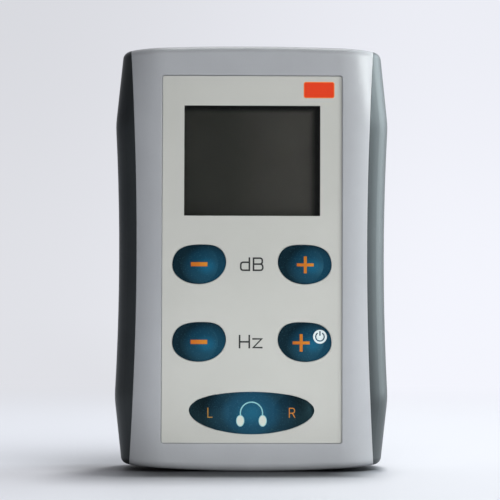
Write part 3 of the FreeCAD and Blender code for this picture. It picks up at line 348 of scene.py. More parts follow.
def lcd_dark():
    """Unlit display: olive polariser with a painted reflection that makes it lighter to the right,
    and a painted shade of the window's recess along its top and right edges.

    The places are distances in from the window's edges.
    """
    finish = Finish("lcd_dark")
    low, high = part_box("display_window")
    # Where the painted reflection starts and is full, and where the painted shade of the recess
    # starts and is full, in from the edges.
    painted_light_from_left, painted_light_from_right = 12 * MM, 6 * MM
    shade_top_start, shade_top_full = 3.8 * MM, 2.0 * MM
    shade_right_start, shade_right_full = 4.9 * MM, 2.4 * MM
    haze = finish.noise(16 * MM, 2.0)
    olive = finish.mix(finish.spread(haze, 0.3, 0.75),
                       (0.068, 0.068, 0.055), (0.080, 0.079, 0.064))
    # Painted reflection: the polariser grows lighter towards the right.
    painted_light_right = finish.spread(finish.axis("X"), low.x + painted_light_from_left, high.x - painted_light_from_right)
    field_with_reflection = finish.mix(painted_light_right, olive, (0.155, 0.144, 0.124))
    # Painted shade of the window's recess along the top and right edges; its colour (edge) is
    # lighter along the right.
    top = finish.spread(finish.axis("Z"), high.z - shade_top_start, high.z - shade_top_full)
    right = finish.spread(finish.axis("X"), high.x - shade_right_start, high.x - shade_right_full)
    painted_shade_border = finish.maths("MAXIMUM", top, right)
    edge = finish.mix(right, (0.004, 0.004, 0.003), (0.014, 0.013, 0.010))
    finish.colour(finish.mix(painted_shade_border, field_with_reflection, edge))
    grain = finish.noise(0.08 * MM)
    finish.roughness(finish.spread(grain, 0.3, 0.7, 0.26, 0.34))
    finish.bump(grain, 0.002 * MM, 0.3)
    return finish


def board_green():
    """Solder mask over copper tracks."""
    finish = Finish("board_green", roughness=0.35)
    inputs = {"Vector": finish.position, "Scale": 160.0, "Distortion": 9.0, "Detail": 1.0}
    waves = finish.node("ShaderNodeTexWave", inputs, bands_direction="DIAGONAL")
    tracks = finish.spread(waves.outputs[1], 0.45, 0.55)
    finish.colour(finish.mix(tracks, (0.006, 0.062, 0.022), (0.016, 0.125, 0.048)))
    finish.bump(tracks, 0.02 * MM, 0.6)
    return finish


def cell_sleeve(name, node, plus_up):
    """Plain cell: dark sleeve with a pale band near its plus end, and bare steel ends."""
    low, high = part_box(node)
    nub, lip, band = 1.0 * MM, 1.6 * MM, 9.0 * MM
    finish = Finish(name)
    height = finish.axis("Z")
    if plus_up:
        from_plus = finish.maths("SUBTRACT", high.z - nub, height)
    else:
        from_plus = finish.maths("SUBTRACT", height, low.z + nub)
    length = high.z - low.z - nub
    near = finish.maths("GREATER_THAN", from_plus, lip)
    far = finish.maths("LESS_THAN", from_plus, length - lip)
    sleeved = finish.maths("MULTIPLY", near, far)
    banded = finish.maths("LESS_THAN", from_plus, band)
    scuffs = finish.noise(1.5 * MM, 6.0)
    sleeve = finish.mix(banded, (0.018, 0.022, 0.028), (0.30, 0.31, 0.32))
    sleeve = finish.mix(finish.spread(scuffs, 0.6, 0.8, 0.0, 0.4), sleeve, (0.12, 0.12, 0.12))
    finish.colour(finish.mix(sleeved, (0.62, 0.62, 0.60), sleeve))
    finish.links.new(finish.maths("SUBTRACT", 1.0, sleeved), finish.shader.inputs["Metallic"])
    finish.roughness(finish.spread(scuffs, 0.3, 0.7, 0.25, 0.4))
    finish.bump(scuffs, 0.01 * MM, 0.3)
    return finish


def dress_cad_nodes():
    """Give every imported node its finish."""
    grey = shell_silver()
    rubber = grip_rubber()
    black = moulded("part_black", (0.012, 0.012, 0.013), (0.02, 0.02, 0.022), 0.45)
    steel = metal("contact_steel", (0.42, 0.42, 0.40), (0.62, 0.62, 0.61), 0.28)
    screw = metal("screw_steel", (0.20, 0.20, 0.21), (0.38, 0.38, 0.39), 0.32)
    brass = metal("contact_brass", (0.55, 0.38, 0.16), (0.72, 0.55, 0.28), 0.3)
    can = metal("can_aluminium", (0.5, 0.5, 0.5), (0.72, 0.72, 0.72), 0.3)
    ferrite = moulded("coil_ferrite", (0.02, 0.02, 0.021), (0.045, 0.045, 0.046), 0.6)
    pale = moulded("part_pale", (0.34, 0.27, 0.18), (0.46, 0.38, 0.27), 0.5)
    guide = moulded("guide_clear", (0.70, 0.72, 0.73), (0.78, 0.79, 0.80), 0.4)
    strip = moulded("strip_rubber", (0.16, 0.06, 0.05), (0.24, 0.10, 0.08), 0.6)
    plunger = moulded("plunger_white", (0.62, 0.62, 0.59), (0.70, 0.70, 0.67), 0.4)
    by_finish = {
        grey: ["front_shell", "rear_shell", "battery_door"],
        rubber: ["front_grip_left", "front_grip_right", "rear_grip_left", "rear_grip_right"],
        film_ivory(): ["overlay_film"],
        window_clear(): ["display_window"],
        lcd_dark(): ["lcd_glass"],
        black: ["switch_bodies", "microcontroller", "tone_generator", "headphone_amplifier",
                "headphone_socket", "lcd_frame"],
        steel: ["switch_domes", "clock_crystal", "battery_springs", "battery_link_plate",
                "battery_end_plates"],
        screw: ["case_screws", "board_screws"],
        brass: ["socket_contacts"],
        can: ["storage_capacitors"],
        board_green(): ["main_board"],
        ferrite: ["step_up_coil"],
        pale: ["chip_parts"],
        guide: ["lcd_light_guide"],
        strip: ["lcd_contact_strips"],
        plunger: ["plunger_" + name for name in KEY_NAMES],
        cell_sleeve("cell_sleeve_left", "battery_cell_left", True): ["battery_cell_left"],
        cell_sleeve("cell_sleeve_right", "battery_cell_right", False): ["battery_cell_right"],
    }
    for name in KEY_NAMES:
        finish = oval_blue("blue_" + name) if name in EAR_KEYS else key_blue(name)
        by_finish[finish] = ["key_" + name]
    for finish, names in by_finish.items():
        for name in names:
            slots = NODES[name].data.materials
            slots.clear()
            slots.append(finish.material)


# ---------------------------------------------------------------- flat shapes, loops of (x, z)

def disc(x, z, across, up=None, start=0.0, turn=WHOLE_TURN):
    """Points on a circle or ellipse; a whole turn gives a closed loop."""
    up = across if up is None else up
    count = max(FEWEST_STEPS, round(ARC_STEPS * abs(turn) / WHOLE_TURN))
    angles = [start + turn * index / count for index in range(count)]
    if abs(turn) < WHOLE_TURN:
        angles.append(start + turn)
    return [(x + across * math.cos(angle), z + up * math.sin(angle)) for angle in angles]


def bar(x, z, width, height):
    half_x, half_z = width / 2, height / 2
    return [(x - half_x, z - half_z), (x + half_x, z - half_z),
            (x + half_x, z + half_z), (x - half_x, z + half_z)]


def rounded_bar(x, z, width, height, radius):
    loop = []
    for index, (side, rise) in enumerate(((1, 1), (-1, 1), (-1, -1), (1, -1))):
        centre_x = x + side * (width / 2 - radius)
        centre_z = z + rise * (height / 2 - radius)
        loop += disc(centre_x, centre_z, radius, start=index * math.pi / 2, turn=math.pi / 2)
    return loop


def stroke(points, width, cap=0.0):
    """Outline of an even pen line with mitred corners and flat ends, lengthened by a cap."""
    line = [Vector(point) for point in points]
    line[0] += (line[0] - line[1]).normalized() * cap
    line[-1] += (line[-1] - line[-2]).normalized() * cap
    left, right = [], []
    for index, point in enumerate(line):
        before = (point - line[index - 1]).normalized() if index else None
        after = (line[index + 1] - point).normalized() if index + 1 < len(line) else None
        along = ((before or after) + (after or before)).normalized()
        across = Vector((-along.y, along.x))
        lean = across.dot(Vector((-(before or after).y, (before or after).x)))
        reach = across * width / 2 / max(lean, LEAST_LEAN)
        left.append(tuple(point + reach))
        right.append(tuple(point - reach))
    return left + right[::-1]


def glyph(strokes, x, z, width, height, pen):
    """Strokes drawn in a unit box, set to a width and height with their outer edges on it."""
    def place(point):
        return (x + pen / 2 + point[0] * (width - pen), z + pen / 2 + point[1] * (height - pen))
    return [stroke([place(point) for point in points], pen, pen / 2) for points in strokes]


def even(loop):
    """The same loop with its long edges cut into steps of the print's mesh size."""
    points = []
    for start, end in zip(loop, loop[1:] + loop[:1]):
        steps = max(1, math.ceil(math.dist(start, end) / PRINT_CELL))
        points += [tuple(Vector(start).lerp(Vector(end), step / steps)) for step in range(steps)]
    return points


def oval():
    """Outline of the blue oval: an ellipse whose ends are raised by its bend."""
    loop = []
    for step in range(OVAL_STEPS):
        turn = WHOLE_TURN * step / OVAL_STEPS
        rise = OVAL_REACH[1] * math.sin(turn) + OVAL_BEND * math.cos(turn) ** 2
        loop.append((OVAL_REACH[0] * math.cos(turn), EAR_ROW + rise))
    return loop


SMALL_D = [
    [(1, 0), (1, 1)],
    [(1, 0), (0.24, 0), (0.07, 0.05), (0, 0.18), (0, 0.48), (0.07, 0.61), (0.24, 0.66), (1, 0.66)],
]
CAPITAL_B = [
    [(0, 0), (0, 1)],
    [(0, 1), (0.74, 1), (0.88, 0.95), (0.94, 0.85), (0.94, 0.66), (0.88, 0.56), (0.74, 0.51),
     (0, 0.51)],
    [(0.70, 0.51), (0.88, 0.48), (0.98, 0.38), (1, 0.26), (0.98, 0.12), (0.88, 0.03), (0.74, 0),
     (0, 0)],
]
CAPITAL_H = [[(0, 0), (0, 1)], [(1, 0), (1, 1)], [(0, 0.48), (1, 0.48)]]
SMALL_Z = [[(0, 1), (0.98, 1), (0.02, 0), (1, 0)]]
CAPITAL_L = [[(0, 1), (0, 0), (1, 0)]]
CAPITAL_R = [
    [(0, 0), (0, 1)],
    [(0, 1), (0.62, 1), (0.86, 0.94), (0.97, 0.80), (0.97, 0.66), (0.86, 0.52), (0.62, 0.46),
     (0, 0.46)],
    [(0.55, 0.46), (1, 0)],
]


# ---------------------------------------------------------------- printed pieces

class Surface:
    """Upright surface that a print lies on: flat, or with a key's dome; facing is 1 on the back."""

    def __init__(self, centre=None, level=FILM_FRONT, facing=-1):
        self.centre = centre
        self.level = level
        self.facing = facing

    def depth(self, x, z):
        if self.centre is None:
            return self.level
        off = math.hypot(x - self.centre.x, z - self.centre.z)
        if off >= DOME_RADIUS:
            return self.level
        curve = (DOME_RADIUS ** 2 + DOME_RISE ** 2) / (2 * DOME_RISE)
        return self.level - DOME_RISE + curve - math.sqrt(curve ** 2 - off ** 2)


FILM = Surface()
DOOR_BACK = Surface(level=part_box("battery_door")[1].y, facing=1)
DOMES = {name: Surface(KEY_CENTRES[name]) for name in KEY_NAMES}


def holds(loop, x, z):
    """Whether a closed loop surrounds a point."""
    inside = False
    for (x0, z0), (x1, z1) in zip(loop, loop[1:] + loop[:1]):
        if (z0 > z) != (z1 > z) and x < x0 + (z - z0) * (x1 - x0) / (z1 - z0):
            inside = not inside
    return inside


def printed(name, loops, surface, body, finish, holes=(), lift=PRINT_LIFT):
    """Thin closed piece over the union of the loops, less the holes, laid on the surface."""
    loops = [even(loop) for loop in loops]
    holes = [even(hole) for hole in holes]

    def covered(x, z):
        if any(holds(hole, x, z) for hole in holes):
            return False
        return any(holds(loop, x, z) for loop in loops)

    points, edges = [], []
    for loop in [*loops, *holes]:
        first = len(points)
        points += [Vector(point) for point in loop]
        edges += [(first + index, first + (index + 1) % len(loop)) for index in range(len(loop))]
    low_x, high_x = min(point.x for point in points), max(point.x for point in points)
    low_z, high_z = min(point.y for point in points), max(point.y for point in points)
    columns = int((high_x - low_x) / PRINT_CELL)
    rows = int((high_z - low_z) / PRINT_CELL)
    for column in range(1, columns + 1):
        for row in range(1, rows + 1):
            x, z = low_x + column * PRINT_CELL, low_z + row * PRINT_CELL
            if covered(x, z):
                points.append(Vector((x, z)))
    scaled = [point / MM for point in points]
    flat, _, faces = delaunay_2d_cdt(scaled, edges, [], INSIDE_ONLY, NEAR_POINTS)[:3]
    kept = []
    for face in faces:
        centre = sum((flat[index] for index in face), Vector((0, 0))) / len(face)
        if covered(centre.x * MM, centre.y * MM):
            kept.append(face)
    thin_solid(name, flat, kept, surface, body, finish, lift)


def thin_solid(name, flat, faces, surface, body, finish, lift):
    """Closed mesh from flat triangles in millimetres: front on the surface, sunk back and rim."""
    used = sorted({index for face in faces for index in face})
    place = {index: order for order, index in enumerate(used)}
    count = len(used)
    front, back = [], []
    for index in used:
        x, z = flat[index].x * MM, flat[index].y * MM
        depth = surface.depth(x, z)
        front.append((x, depth + surface.facing * lift, z))
        back.append((x, depth - surface.facing * PRINT_SINK, z))
    polygons, rims = [], {}
    for face in faces:
        ring = [place[index] for index in face]
        polygons.append(ring)
        polygons.append([index + count for index in reversed(ring)])
        for start, end in zip(ring, ring[1:] + ring[:1]):
            if (end, start) in rims:
                del rims[(end, start)]
            else:
                rims[(start, end)] = True
    for start, end in rims:
        polygons.append([end, start, start + count, end + count])
    if surface.facing > 0:
        polygons = [ring[::-1] for ring in polygons]
    mesh_piece(name, front + back, polygons, body, finish)


def mesh_piece(name, points, polygons, body, finish, smooth=False):
    """Object from points and polygons, with its outward normals, riding on a body."""
    mesh = bpy.data.meshes.new(name)
    mesh.from_pydata(points, [], polygons)
    mesh.validate()
    mesh.materials.append(finish.material)
    mesh.polygons.foreach_set("use_smooth", [smooth] * len(mesh.polygons))
    piece = bpy.data.objects.new(name, mesh)
    bpy.context.scene.collection.objects.link(piece)
    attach(piece, body)


# Marks on the four domed keys, in millimetres: the offset from the key's centre and the bars.
MINUS = ((4.75, 1.2),)
PLUS = ((4.85, 0.86), (0.86, 4.85))
POWER_PLUS = ((4.85, 0.86), (0.86, 5.0))
KEY_MARKS = (
    ("level_down", (0.0, 0.0), MINUS),
    ("pitch_down", (0.0, 0.0), MINUS),
    ("level_up", (0.15, -0.1), PLUS),
    ("pitch_up", (-1.0, -0.2), POWER_PLUS),
)

# Letters, in millimetres: the left edge and width, and in a legend also the foot and height.
EAR_LETTERS = (("left_ear", CAPITAL_L, -12.6, 1.45), ("right_ear", CAPITAL_R, 10.65, 1.8))
LEGENDS = (
    ("legend_level", ((SMALL_D, -3.45, 57.2, 2.95, 3.95), (CAPITAL_B, 0.2, 57.2, 3.15, 3.95))),
    ("legend_pitch", ((CAPITAL_H, -3.72, 35.1, 3.25, 3.87), (SMALL_Z, 0.15, 35.1, 2.95, 2.95))),
)


def key_marks():
    """Minus and plus bars on the four key domes."""
    for name, (offset_x, offset_z), bars in KEY_MARKS:
        centre = KEY_CENTRES[name]
        x, z = centre.x + offset_x * MM, centre.z + offset_z * MM
        finish = ink("ink_" + name, ORANGE_RED, ORANGE_YELLOW, x, 2.5 * MM)
        loops = [bar(x, z, width * MM, height * MM) for width, height in bars]
        printed("mark_" + name, loops, DOMES[name], "key_" + name, finish)


def ear_letters():
    """L and R in thin orange lines on the two round keys."""
    pen, height, foot = 0.25 * MM, 2.85 * MM, EAR_ROW - 1.3 * MM
    for name, strokes, x, width in EAR_LETTERS:
        finish = ink("ink_" + name, LETTER_YELLOW, ORANGE_YELLOW, 0, 12 * MM)
        loops = glyph(strokes, x * MM, foot, width * MM, height, pen)
        printed("letter_" + name, loops, DOMES[name], "key_" + name, finish)


def power_symbol():
    """White disc with a broken ring and a bar left out of it, on the upper frequency key."""
    x, z = 19.5 * MM, KEY_CENTRES["pitch_up"].z + 1.55 * MM
    radius, ring_radius, pen, gap = 1.98 * MM, 1.22 * MM, 0.34 * MM, math.radians(32)
    notch_rise, notch_width, notch_height = 0.95 * MM, 0.36 * MM, 1.35 * MM
    finish = ink("ink_power", POWER_WHITE, POWER_WHITE, x, 2 * MM)
    arc = disc(x, z, ring_radius, start=math.pi / 2 + gap, turn=WHOLE_TURN - 2 * gap)
    notch = bar(x, z + notch_rise, notch_width, notch_height)
    printed("power_symbol", [disc(x, z, radius)], DOMES["pitch_up"], "key_pitch_up", finish,
            holes=[stroke(arc, pen), notch])


def legends():
    """dB and Hz between the keys."""
    pen = 0.48 * MM
    finish = plain_ink("ink_legend", LEGEND_GREY)
    for name, letters in LEGENDS:
        loops = []
        for strokes, x, z, width, height in letters:
            loops += glyph(strokes, x * MM, z * MM, width * MM, height * MM, pen)
        printed(name, loops, FILM, "root", finish)


def ear_oval():
    """Blue oval between the two ear keys, with a pair of headphones in its middle."""
    overlap = 0.03 * MM
    holes = [disc(KEY_CENTRES[name].x, EAR_ROW, EAR_CAP_RADIUS - overlap) for name in EAR_KEYS]
    printed("ear_oval", [oval()], FILM, "root", oval_blue("blue_oval"), holes=holes)
    pale = plain_ink("ink_pale", PALE_CYAN)
    cream = plain_ink("ink_cream", PAD_CREAM)
    middle_x, middle_z, pen = -0.03 * MM, EAR_ROW - 0.05 * MM, 0.34 * MM
    cup_spread, cup_drop = 3.2 * MM, 2.2 * MM
    arc = disc(middle_x, middle_z, 3.17 * MM, start=math.radians(-20), turn=math.radians(220))
    places = [(middle_x + side * cup_spread, EAR_ROW - cup_drop) for side in (-1, 1)]
    cups = [disc(x, z, 1.17 * MM, 1.66 * MM) for x, z in places]
    pads = [disc(x, z, 0.97 * MM, 1.44 * MM) for x, z in places]
    printed("headphones_outline", [stroke(arc, pen), *cups], FILM, "root", pale,
            lift=2 * PRINT_LIFT)
    printed("headphones_pads", pads, FILM, "root", cream, lift=3 * PRINT_LIFT)


def plain_badge():
    """Plain orange plate with a paler rim in the upper right corner of the film."""
    x, z, width, height = 19.15 * MM, 109.3 * MM, 8.9 * MM, 4.75 * MM
    rim, radius = 0.2 * MM, 0.7 * MM
    for name, colour, inset, lift in (("badge_rim", RIM_ORANGE, 0.0, PRINT_LIFT),
                                      ("plain_badge", BADGE_ORANGE, rim, 2 * PRINT_LIFT)):
        finish = plain_ink("ink_" + name, colour, 0.35)
        loop = rounded_bar(x, z, width - 2 * inset, height - 2 * inset, radius - inset)
        printed(name, [loop], FILM, "root", finish, lift=lift)


# ---------------------------------------------------------------- small fittings

def lathed_ring(name, x, y, section, body, finish):
    """Ring turned round an upright axis from a closed section of (radius, height) points."""
    points, polygons = [], []
    for step in range(ARC_STEPS):
        angle = WHOLE_TURN * step / ARC_STEPS
        points += [(x + r * math.cos(angle), y + r * math.sin(angle), z) for r, z in section]
    size, total = len(section), len(points)
    for step in range(ARC_STEPS):
        for index in range(size):
            here = step * size + index
            after = step * size + (index + 1) % size
            polygons.append([here, after, (after + size) % total, (here + size) % total])
    mesh_piece(name, points, polygons, body, finish)


def socket_ring():
    """Plated ring round the mouth of the headphone socket."""
    low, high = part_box("headphone_socket")
    x, y = (low.x + high.x) / 2, high.y - 2.5 * MM
    inner, outer, rise, chamfer = 1.82 * MM, 2.45 * MM, 0.12 * MM, 0.1 * MM
    foot_inside, foot_outside, top = high.z - 1.5 * MM, high.z - 0.05 * MM, high.z + rise
    section = [(inner, foot_inside), (outer, foot_outside), (outer, top - chamfer),
               (outer - chamfer, top), (inner + chamfer, top), (inner, top - chamfer)]
    finish = metal("ring_nickel", (0.50, 0.50, 0.48), (0.70, 0.70, 0.68), 0.22)
    lathed_ring("socket_ring", x, y, section, "root", finish)


def door_arrow():
    """Grey triangle under the thumb hollow: the way that the door is pushed and swung."""
    from_top, half_width, height = 18 * MM, 2.1 * MM, 3.0 * MM
    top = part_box("battery_door")[1].z - from_top
    finish = plain_ink("ink_arrow", ARROW_GREY)
    loop = [(half_width, top), (-half_width, top), (0, top - height)]
    printed("door_arrow", [loop], DOOR_BACK, "battery_door", finish)


def door_ribs():
    """Three half-round ribs across the thumb hollow of the battery door."""
    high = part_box("battery_door")[1]
    hollow_reach, hollow_depth, hollow_from_top = 7.0 * MM, 0.9 * MM, 12 * MM
    reach, rise, half_height, pitch, sink = 5.2 * MM, 0.3 * MM, 0.45 * MM, 1.9 * MM, 0.05 * MM
    curve = (hollow_reach ** 2 + hollow_depth ** 2) / (2 * hollow_depth)
    finish = moulded("rib_silver", (0.325, 0.338, 0.372), (0.375, 0.387, 0.42), 0.36,
                     edge=0.1 * MM)
    steps, sides = 16, 6
    ring = sides + 1
    for order in (-1, 0, 1):
        centre_z = high.z - hollow_from_top + order * pitch
        points, polygons = [], []
        for step in range(steps + 1):
            x = (2 * step / steps - 1) * reach
            hollow = high.y - hollow_depth + curve - math.sqrt(curve ** 2 - x ** 2)
            for side in range(ring):
                angle = math.pi * side / sides
                points.append((x, hollow - sink + rise * math.sin(angle),
                               centre_z + half_height * math.cos(angle)))
        for step in range(steps):
            first, following = step * ring, (step + 1) * ring
            for side in range(sides):
                polygons.append([first + side, following + side,
                                 following + side + 1, first + side + 1])
            polygons.append([first + sides, following + sides, following, first])
        polygons.append(list(range(ring)))
        polygons.append([steps * ring + side for side in reversed(range(ring))])
        mesh_piece(f"door_rib_{order + 2}", points, polygons, "battery_door", finish,
                   smooth=True)


# ---------------------------------------------------------------- floor, light and camera

# Camera: how far it stands in front of the object's middle plane, its height and side, the width
# of the view at that plane, the side that it aims at, and its tilt and roll.
CAMERA_DISTANCE = 0.560
CAMERA_HEIGHT = 0.0442
CAMERA_SIDE = -0.00757
VIEW_WIDTH = 0.14692
AIM_X = -0.00039
PITCH = math.radians(2.0)
ROLL = math.radians(0.157)

# Colours of the surround, which sweeps from left to right: a dim and a bright end, which light the
# object but that the camera doesn't see, and between them the two sides of the pale backdrop, the
# right side lighter as painted light from the right. Then the place of the bright end, and the
# width over which the two sides run into each other.
DIM_END = (0.15, 0.15, 0.165)
BACKDROP = ((0.745, 0.753, 0.797), (0.905, 0.917, 0.985))
BRIGHT_END = (1.35, 1.5, 1.58)
BRIGHT_PLACE = 0.82
BACKDROP_EDGE = 0.13

# Strengths of the surround by direction, with -1 to 1 along each axis: the backdrop dims up to
# its top, the sky above it grows to the right, and the room in front keeps a small share.
BACKDROP_TOP, BACKDROP_TOP_STRENGTH = 0.17, 0.93
SKY_FULL = 0.4
SKY_SIDES, SKY_STRENGTHS = (0.1, 0.7), (0.1, 1.1)
FRONT_DEPTHS = (-0.15, 0.3)
FRONT_SHARE = 0.04

# Floor: half its length, and where it fades into the backdrop. Its paper, left and right, darker on
# the left as a painted shade, the fibres in it, and the dark of its painted shades.
FLOOR_REACH = 30.0
FLOOR_FADE = (0.16, 0.7)
PAPER_PAINTED_SHADE_SIDES = (-0.09, 0.08)
PAPER = ((0.62, 0.625, 0.66), (0.70, 0.705, 0.735))
PAPER_FIBRE = (0.78, 0.78, 0.80)
PAPER_SHADE = (0.10, 0.102, 0.11)

# Soft shades on the floor, to the left of the case and in front of it: how far they reach, the
# direction that their light comes from, the shares of open sky at which they are full and end,
# and the light that is left in them.
FLOOR_SHADES = (
    (300 * MM, (0.66, -0.50, 0.56), 0.60, 0.98, 0.3),
    (26 * MM, (0.35, 0.75, 0.55), 0.62, 0.93, 0.0),
)

# Where the shade in front thins out, to the left and right, and the light let through there.
FRONT_SHADE_ENDS = ((-22 * MM, -42 * MM, 0.9), (20 * MM, 36 * MM, 1.0))

# Tints of the lamps.
WARM = (1.0, 0.99, 0.965)
PALE_BLUE = (0.92, 0.96, 1.0)
TABLE_BLUE = (0.91, 0.95, 1.0)
PALE_GREEN = (0.95, 1.0, 0.99)
PALE_TEAL = (0.95, 1.0, 1.0)
GRIP_BLUE = (0.84, 0.95, 1.0)


def sweep_colour(graph, direction, lighting=False):
    """Colour of the backdrop by direction; as lighting it also has its dim and bright ends."""
    item = graph.node("ShaderNodeSeparateXYZ", {0: direction})
    place = graph.maths("MULTIPLY_ADD", item.outputs[0], 0.5, 0.5)
    # The backdrop runs from its darker left to its lighter right side, a painted light from the
    # right.
    stops = list(zip((0.5 - BACKDROP_EDGE / 2, 0.5 + BACKDROP_EDGE / 2), BACKDROP))
    if lighting:
        stops = [(0.0, DIM_END), *stops, (BRIGHT_PLACE, BRIGHT_END)]
    return graph.ramp(place, *stops)


def studio_world():
    """Pale backdrop for the camera; all other rays see it with a dark room in front and a sky."""
    world = bpy.data.worlds.new("studio")
    bpy.context.scene.world = world
    world.use_nodes = True
    graph = Graph(world.node_tree)
    background = graph.nodes["Background"]
    direction = graph.nodes.new("ShaderNodeTexCoord").outputs["Generated"]
    side, depth, height = graph.node("ShaderNodeSeparateXYZ", {0: direction}).outputs
    backdrop = graph.spread(height, 0.0, BACKDROP_TOP, 1.0, BACKDROP_TOP_STRENGTH)
    sky = graph.maths("MULTIPLY", graph.spread(height, BACKDROP_TOP, SKY_FULL),
                      graph.spread(side, *SKY_SIDES, *SKY_STRENGTHS))
    lit = graph.maths("MULTIPLY", graph.spread(depth, *FRONT_DEPTHS, FRONT_SHARE, 1.0),
                      graph.maths("ADD", backdrop, sky))
    seen = graph.nodes.new("ShaderNodeLightPath").outputs["Is Camera Ray"]
    light = sweep_colour(graph, direction, lighting=True)
    view = sweep_colour(graph, direction)
    graph.links.new(graph.mix(seen, light, view), background.inputs["Color"])
    strength = graph.node("ShaderNodeMix", {0: seen, 2: lit, 3: backdrop}).outputs[0]
    graph.links.new(strength, background.inputs["Strength"])


def shade(graph, reach, lean, full, end, left):
    """Share of open sky about a direction that leans off plumb, as light on the floor."""
    towards = graph.node("ShaderNodeCombineXYZ", dict(enumerate(lean))).outputs[0]
    item = graph.node("ShaderNodeAmbientOcclusion", {"Distance": reach, "Normal": towards},
                      samples=32)
    return graph.spread(item.outputs["AO"], full, end, left)


def floor_paper():
    """White paper, darker to the left as a painted shade, with soft painted shades by the object;
    for the camera it fades into the backdrop.
    """
    finish = Finish("floor_paper", roughness=0.6)
    fibres = finish.noise(0.8 * MM, 4.0)
    # Painted shade: the paper runs from darker on the left to lighter on the right.
    paper = finish.mix(finish.spread(finish.axis("X"), *PAPER_PAINTED_SHADE_SIDES), *PAPER)
    paper = finish.mix(finish.spread(fibres, 0.3, 0.7, 0.0, 0.12), paper, PAPER_FIBRE)
    wide, front = [shade(finish, *values) for values in FLOOR_SHADES]
    for inner, outer, light in FRONT_SHADE_ENDS:
        let_through = finish.spread(finish.axis("X"), inner, outer, 0.0, light)
        front = finish.maths("MAXIMUM", front, let_through)
    open_sky = finish.maths("MULTIPLY", wide, front)
    finish.colour(finish.mix(open_sky, PAPER_SHADE, paper))
    finish.bump(fibres, 0.01 * MM, 0.2)
    direction = finish.node("ShaderNodeVectorMath", {0: finish.position}, operation="NORMALIZE")
    away = finish.node("ShaderNodeVectorMath", {0: finish.position}, operation="LENGTH")
    backdrop = sweep_colour(finish, direction.outputs[0])
    glow = finish.node("ShaderNodeEmission", {"Color": backdrop})
    path = finish.nodes.new("ShaderNodeLightPath").outputs
    faded = finish.spread(away.outputs["Value"], *FLOOR_FADE)
    fade = finish.maths("MULTIPLY", faded, path["Is Camera Ray"])
    inputs = {0: fade, 1: finish.shader.outputs[0], 2: glow.outputs[0]}
    blend = finish.node("ShaderNodeMixShader", inputs)
    surface = finish.nodes["Material Output"].inputs["Surface"]
    finish.links.new(blend.outputs[0], surface)
    return finish


def floor():
    """Flat square at the object's foot, as a stage."""
    mesh = bpy.data.meshes.new("floor")
    corners = ((-1, -1), (1, -1), (1, 1), (-1, 1))
    points = [(x * FLOOR_REACH, y * FLOOR_REACH, CAD_LOW.z) for x, y in corners]
    mesh.from_pydata(points, [], [[0, 1, 2, 3]])
    piece = bpy.data.objects.new("floor", mesh)
    bpy.context.scene.collection.objects.link(piece)
    mesh.materials.append(floor_paper().material)
    return piece


def softbox(name, side, rise, distance, size, watts, lights_only, tint=(1, 1, 1), gloss=True):
    """Area lamp that faces the object's middle, from a side angle off the front and a rise.

    It lights one collection; without gloss it gives diffuse light only.
    """
    lamp = bpy.data.lights.new(name, "AREA")
    lamp.shape = "RECTANGLE"
    lamp.size, lamp.size_y = size
    lamp.energy = watts
    lamp.color = tint
    side, rise = math.radians(side), math.radians(rise)
    level = math.cos(rise)
    ray = Vector((level * math.sin(side), -level * math.cos(side), math.sin(rise)))
    target = Vector((0, 0, (CAD_LOW.z + CAD_HIGH.z) / 2))
    item = bpy.data.objects.new(name, lamp)
    item.location = target + ray * distance
    item.rotation_euler = (target - item.location).to_track_quat("-Z", "Y").to_euler()
    item.light_linking.receiver_collection = lights_only
    item.visible_camera = False
    item.visible_glossy = item.visible_transmission = gloss
    bpy.context.scene.collection.objects.link(item)


def collection(name, items):
    group = bpy.data.collections.new(name)
    for item in items:
        group.objects.link(item)
    return group


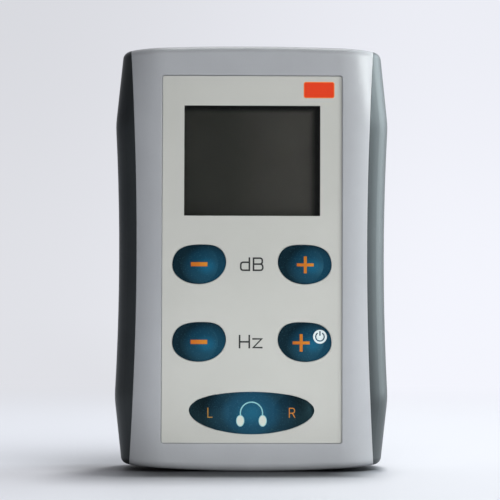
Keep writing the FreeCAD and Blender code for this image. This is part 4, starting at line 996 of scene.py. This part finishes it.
def lights(floor_piece):
    """Lamps that each light the audiometer, its right grips or the floor, and nothing else."""
    meshes = [item for item in bpy.context.scene.objects if item.type == "MESH"]
    audiometer = collection("audiometer", [item for item in meshes if item != floor_piece])
    ground = collection("ground", [floor_piece])
    grips = collection("grips", [NODES["front_grip_right"], NODES["rear_grip_right"]])
    softbox("window", side=46, rise=12, distance=1.3, size=(1.5, 1.1), watts=2.9, tint=WARM,
            lights_only=audiometer)
    softbox("front", side=6, rise=14, distance=1.3, size=(0.8, 0.8), watts=4.8, tint=WARM,
            lights_only=audiometer, gloss=False)
    softbox("fill", side=-40, rise=8, distance=1.3, size=(1.2, 0.9), watts=1.5, tint=PALE_BLUE,
            lights_only=audiometer)
    softbox("low", side=42, rise=-7, distance=0.36, size=(0.25, 0.08), watts=0.22,
            tint=TABLE_BLUE, lights_only=audiometer)
    softbox("card", side=0, rise=-37, distance=0.0814, size=(0.07, 0.02), watts=0.015,
            tint=TABLE_BLUE, lights_only=audiometer, gloss=False)
    softbox("rim", side=98, rise=17, distance=1.3, size=(0.8, 0.8), watts=13.0, tint=PALE_GREEN,
            lights_only=audiometer)
    softbox("sheen", side=104, rise=8, distance=1.3, size=(1.2, 1.5), watts=16.0, tint=GRIP_BLUE,
            lights_only=grips)
    softbox("corner", side=62, rise=24, distance=0.25, size=(0.05, 0.05), watts=0.20,
            tint=PALE_TEAL, lights_only=audiometer)
    softbox("ceiling", side=162, rise=76, distance=1.1, size=(0.14, 0.32), watts=9.5,
            lights_only=ground)
    softbox("overhead", side=173, rise=76, distance=1.1, size=(0.32, 0.32), watts=2.8,
            lights_only=audiometer)


def camera():
    """Long lens, set low and a little to the left of the case, tilted up and just off plumb."""
    data = bpy.data.cameras.new("camera")
    data.sensor_width = 36.0
    data.lens = data.sensor_width * CAMERA_DISTANCE / VIEW_WIDTH
    item = bpy.data.objects.new("camera", data)
    item.location = (CAMERA_SIDE, -CAMERA_DISTANCE, CAMERA_HEIGHT)
    aim_z = CAMERA_HEIGHT + CAMERA_DISTANCE * math.tan(PITCH)
    aim = Vector((AIM_X, 0, aim_z)) - item.location
    item.rotation_mode = "QUATERNION"
    item.rotation_quaternion = aim.to_track_quat("-Z", "Y") @ Quaternion((0, 0, 1), ROLL)
    bpy.context.scene.collection.objects.link(item)
    bpy.context.scene.camera = item


dress_cad_nodes()
key_marks()
ear_letters()
power_symbol()
legends()
ear_oval()
plain_badge()
socket_ring()
door_arrow()
door_ribs()
studio_world()
lights(floor())
camera()
bpy.context.scene.view_settings.view_transform = "Standard"
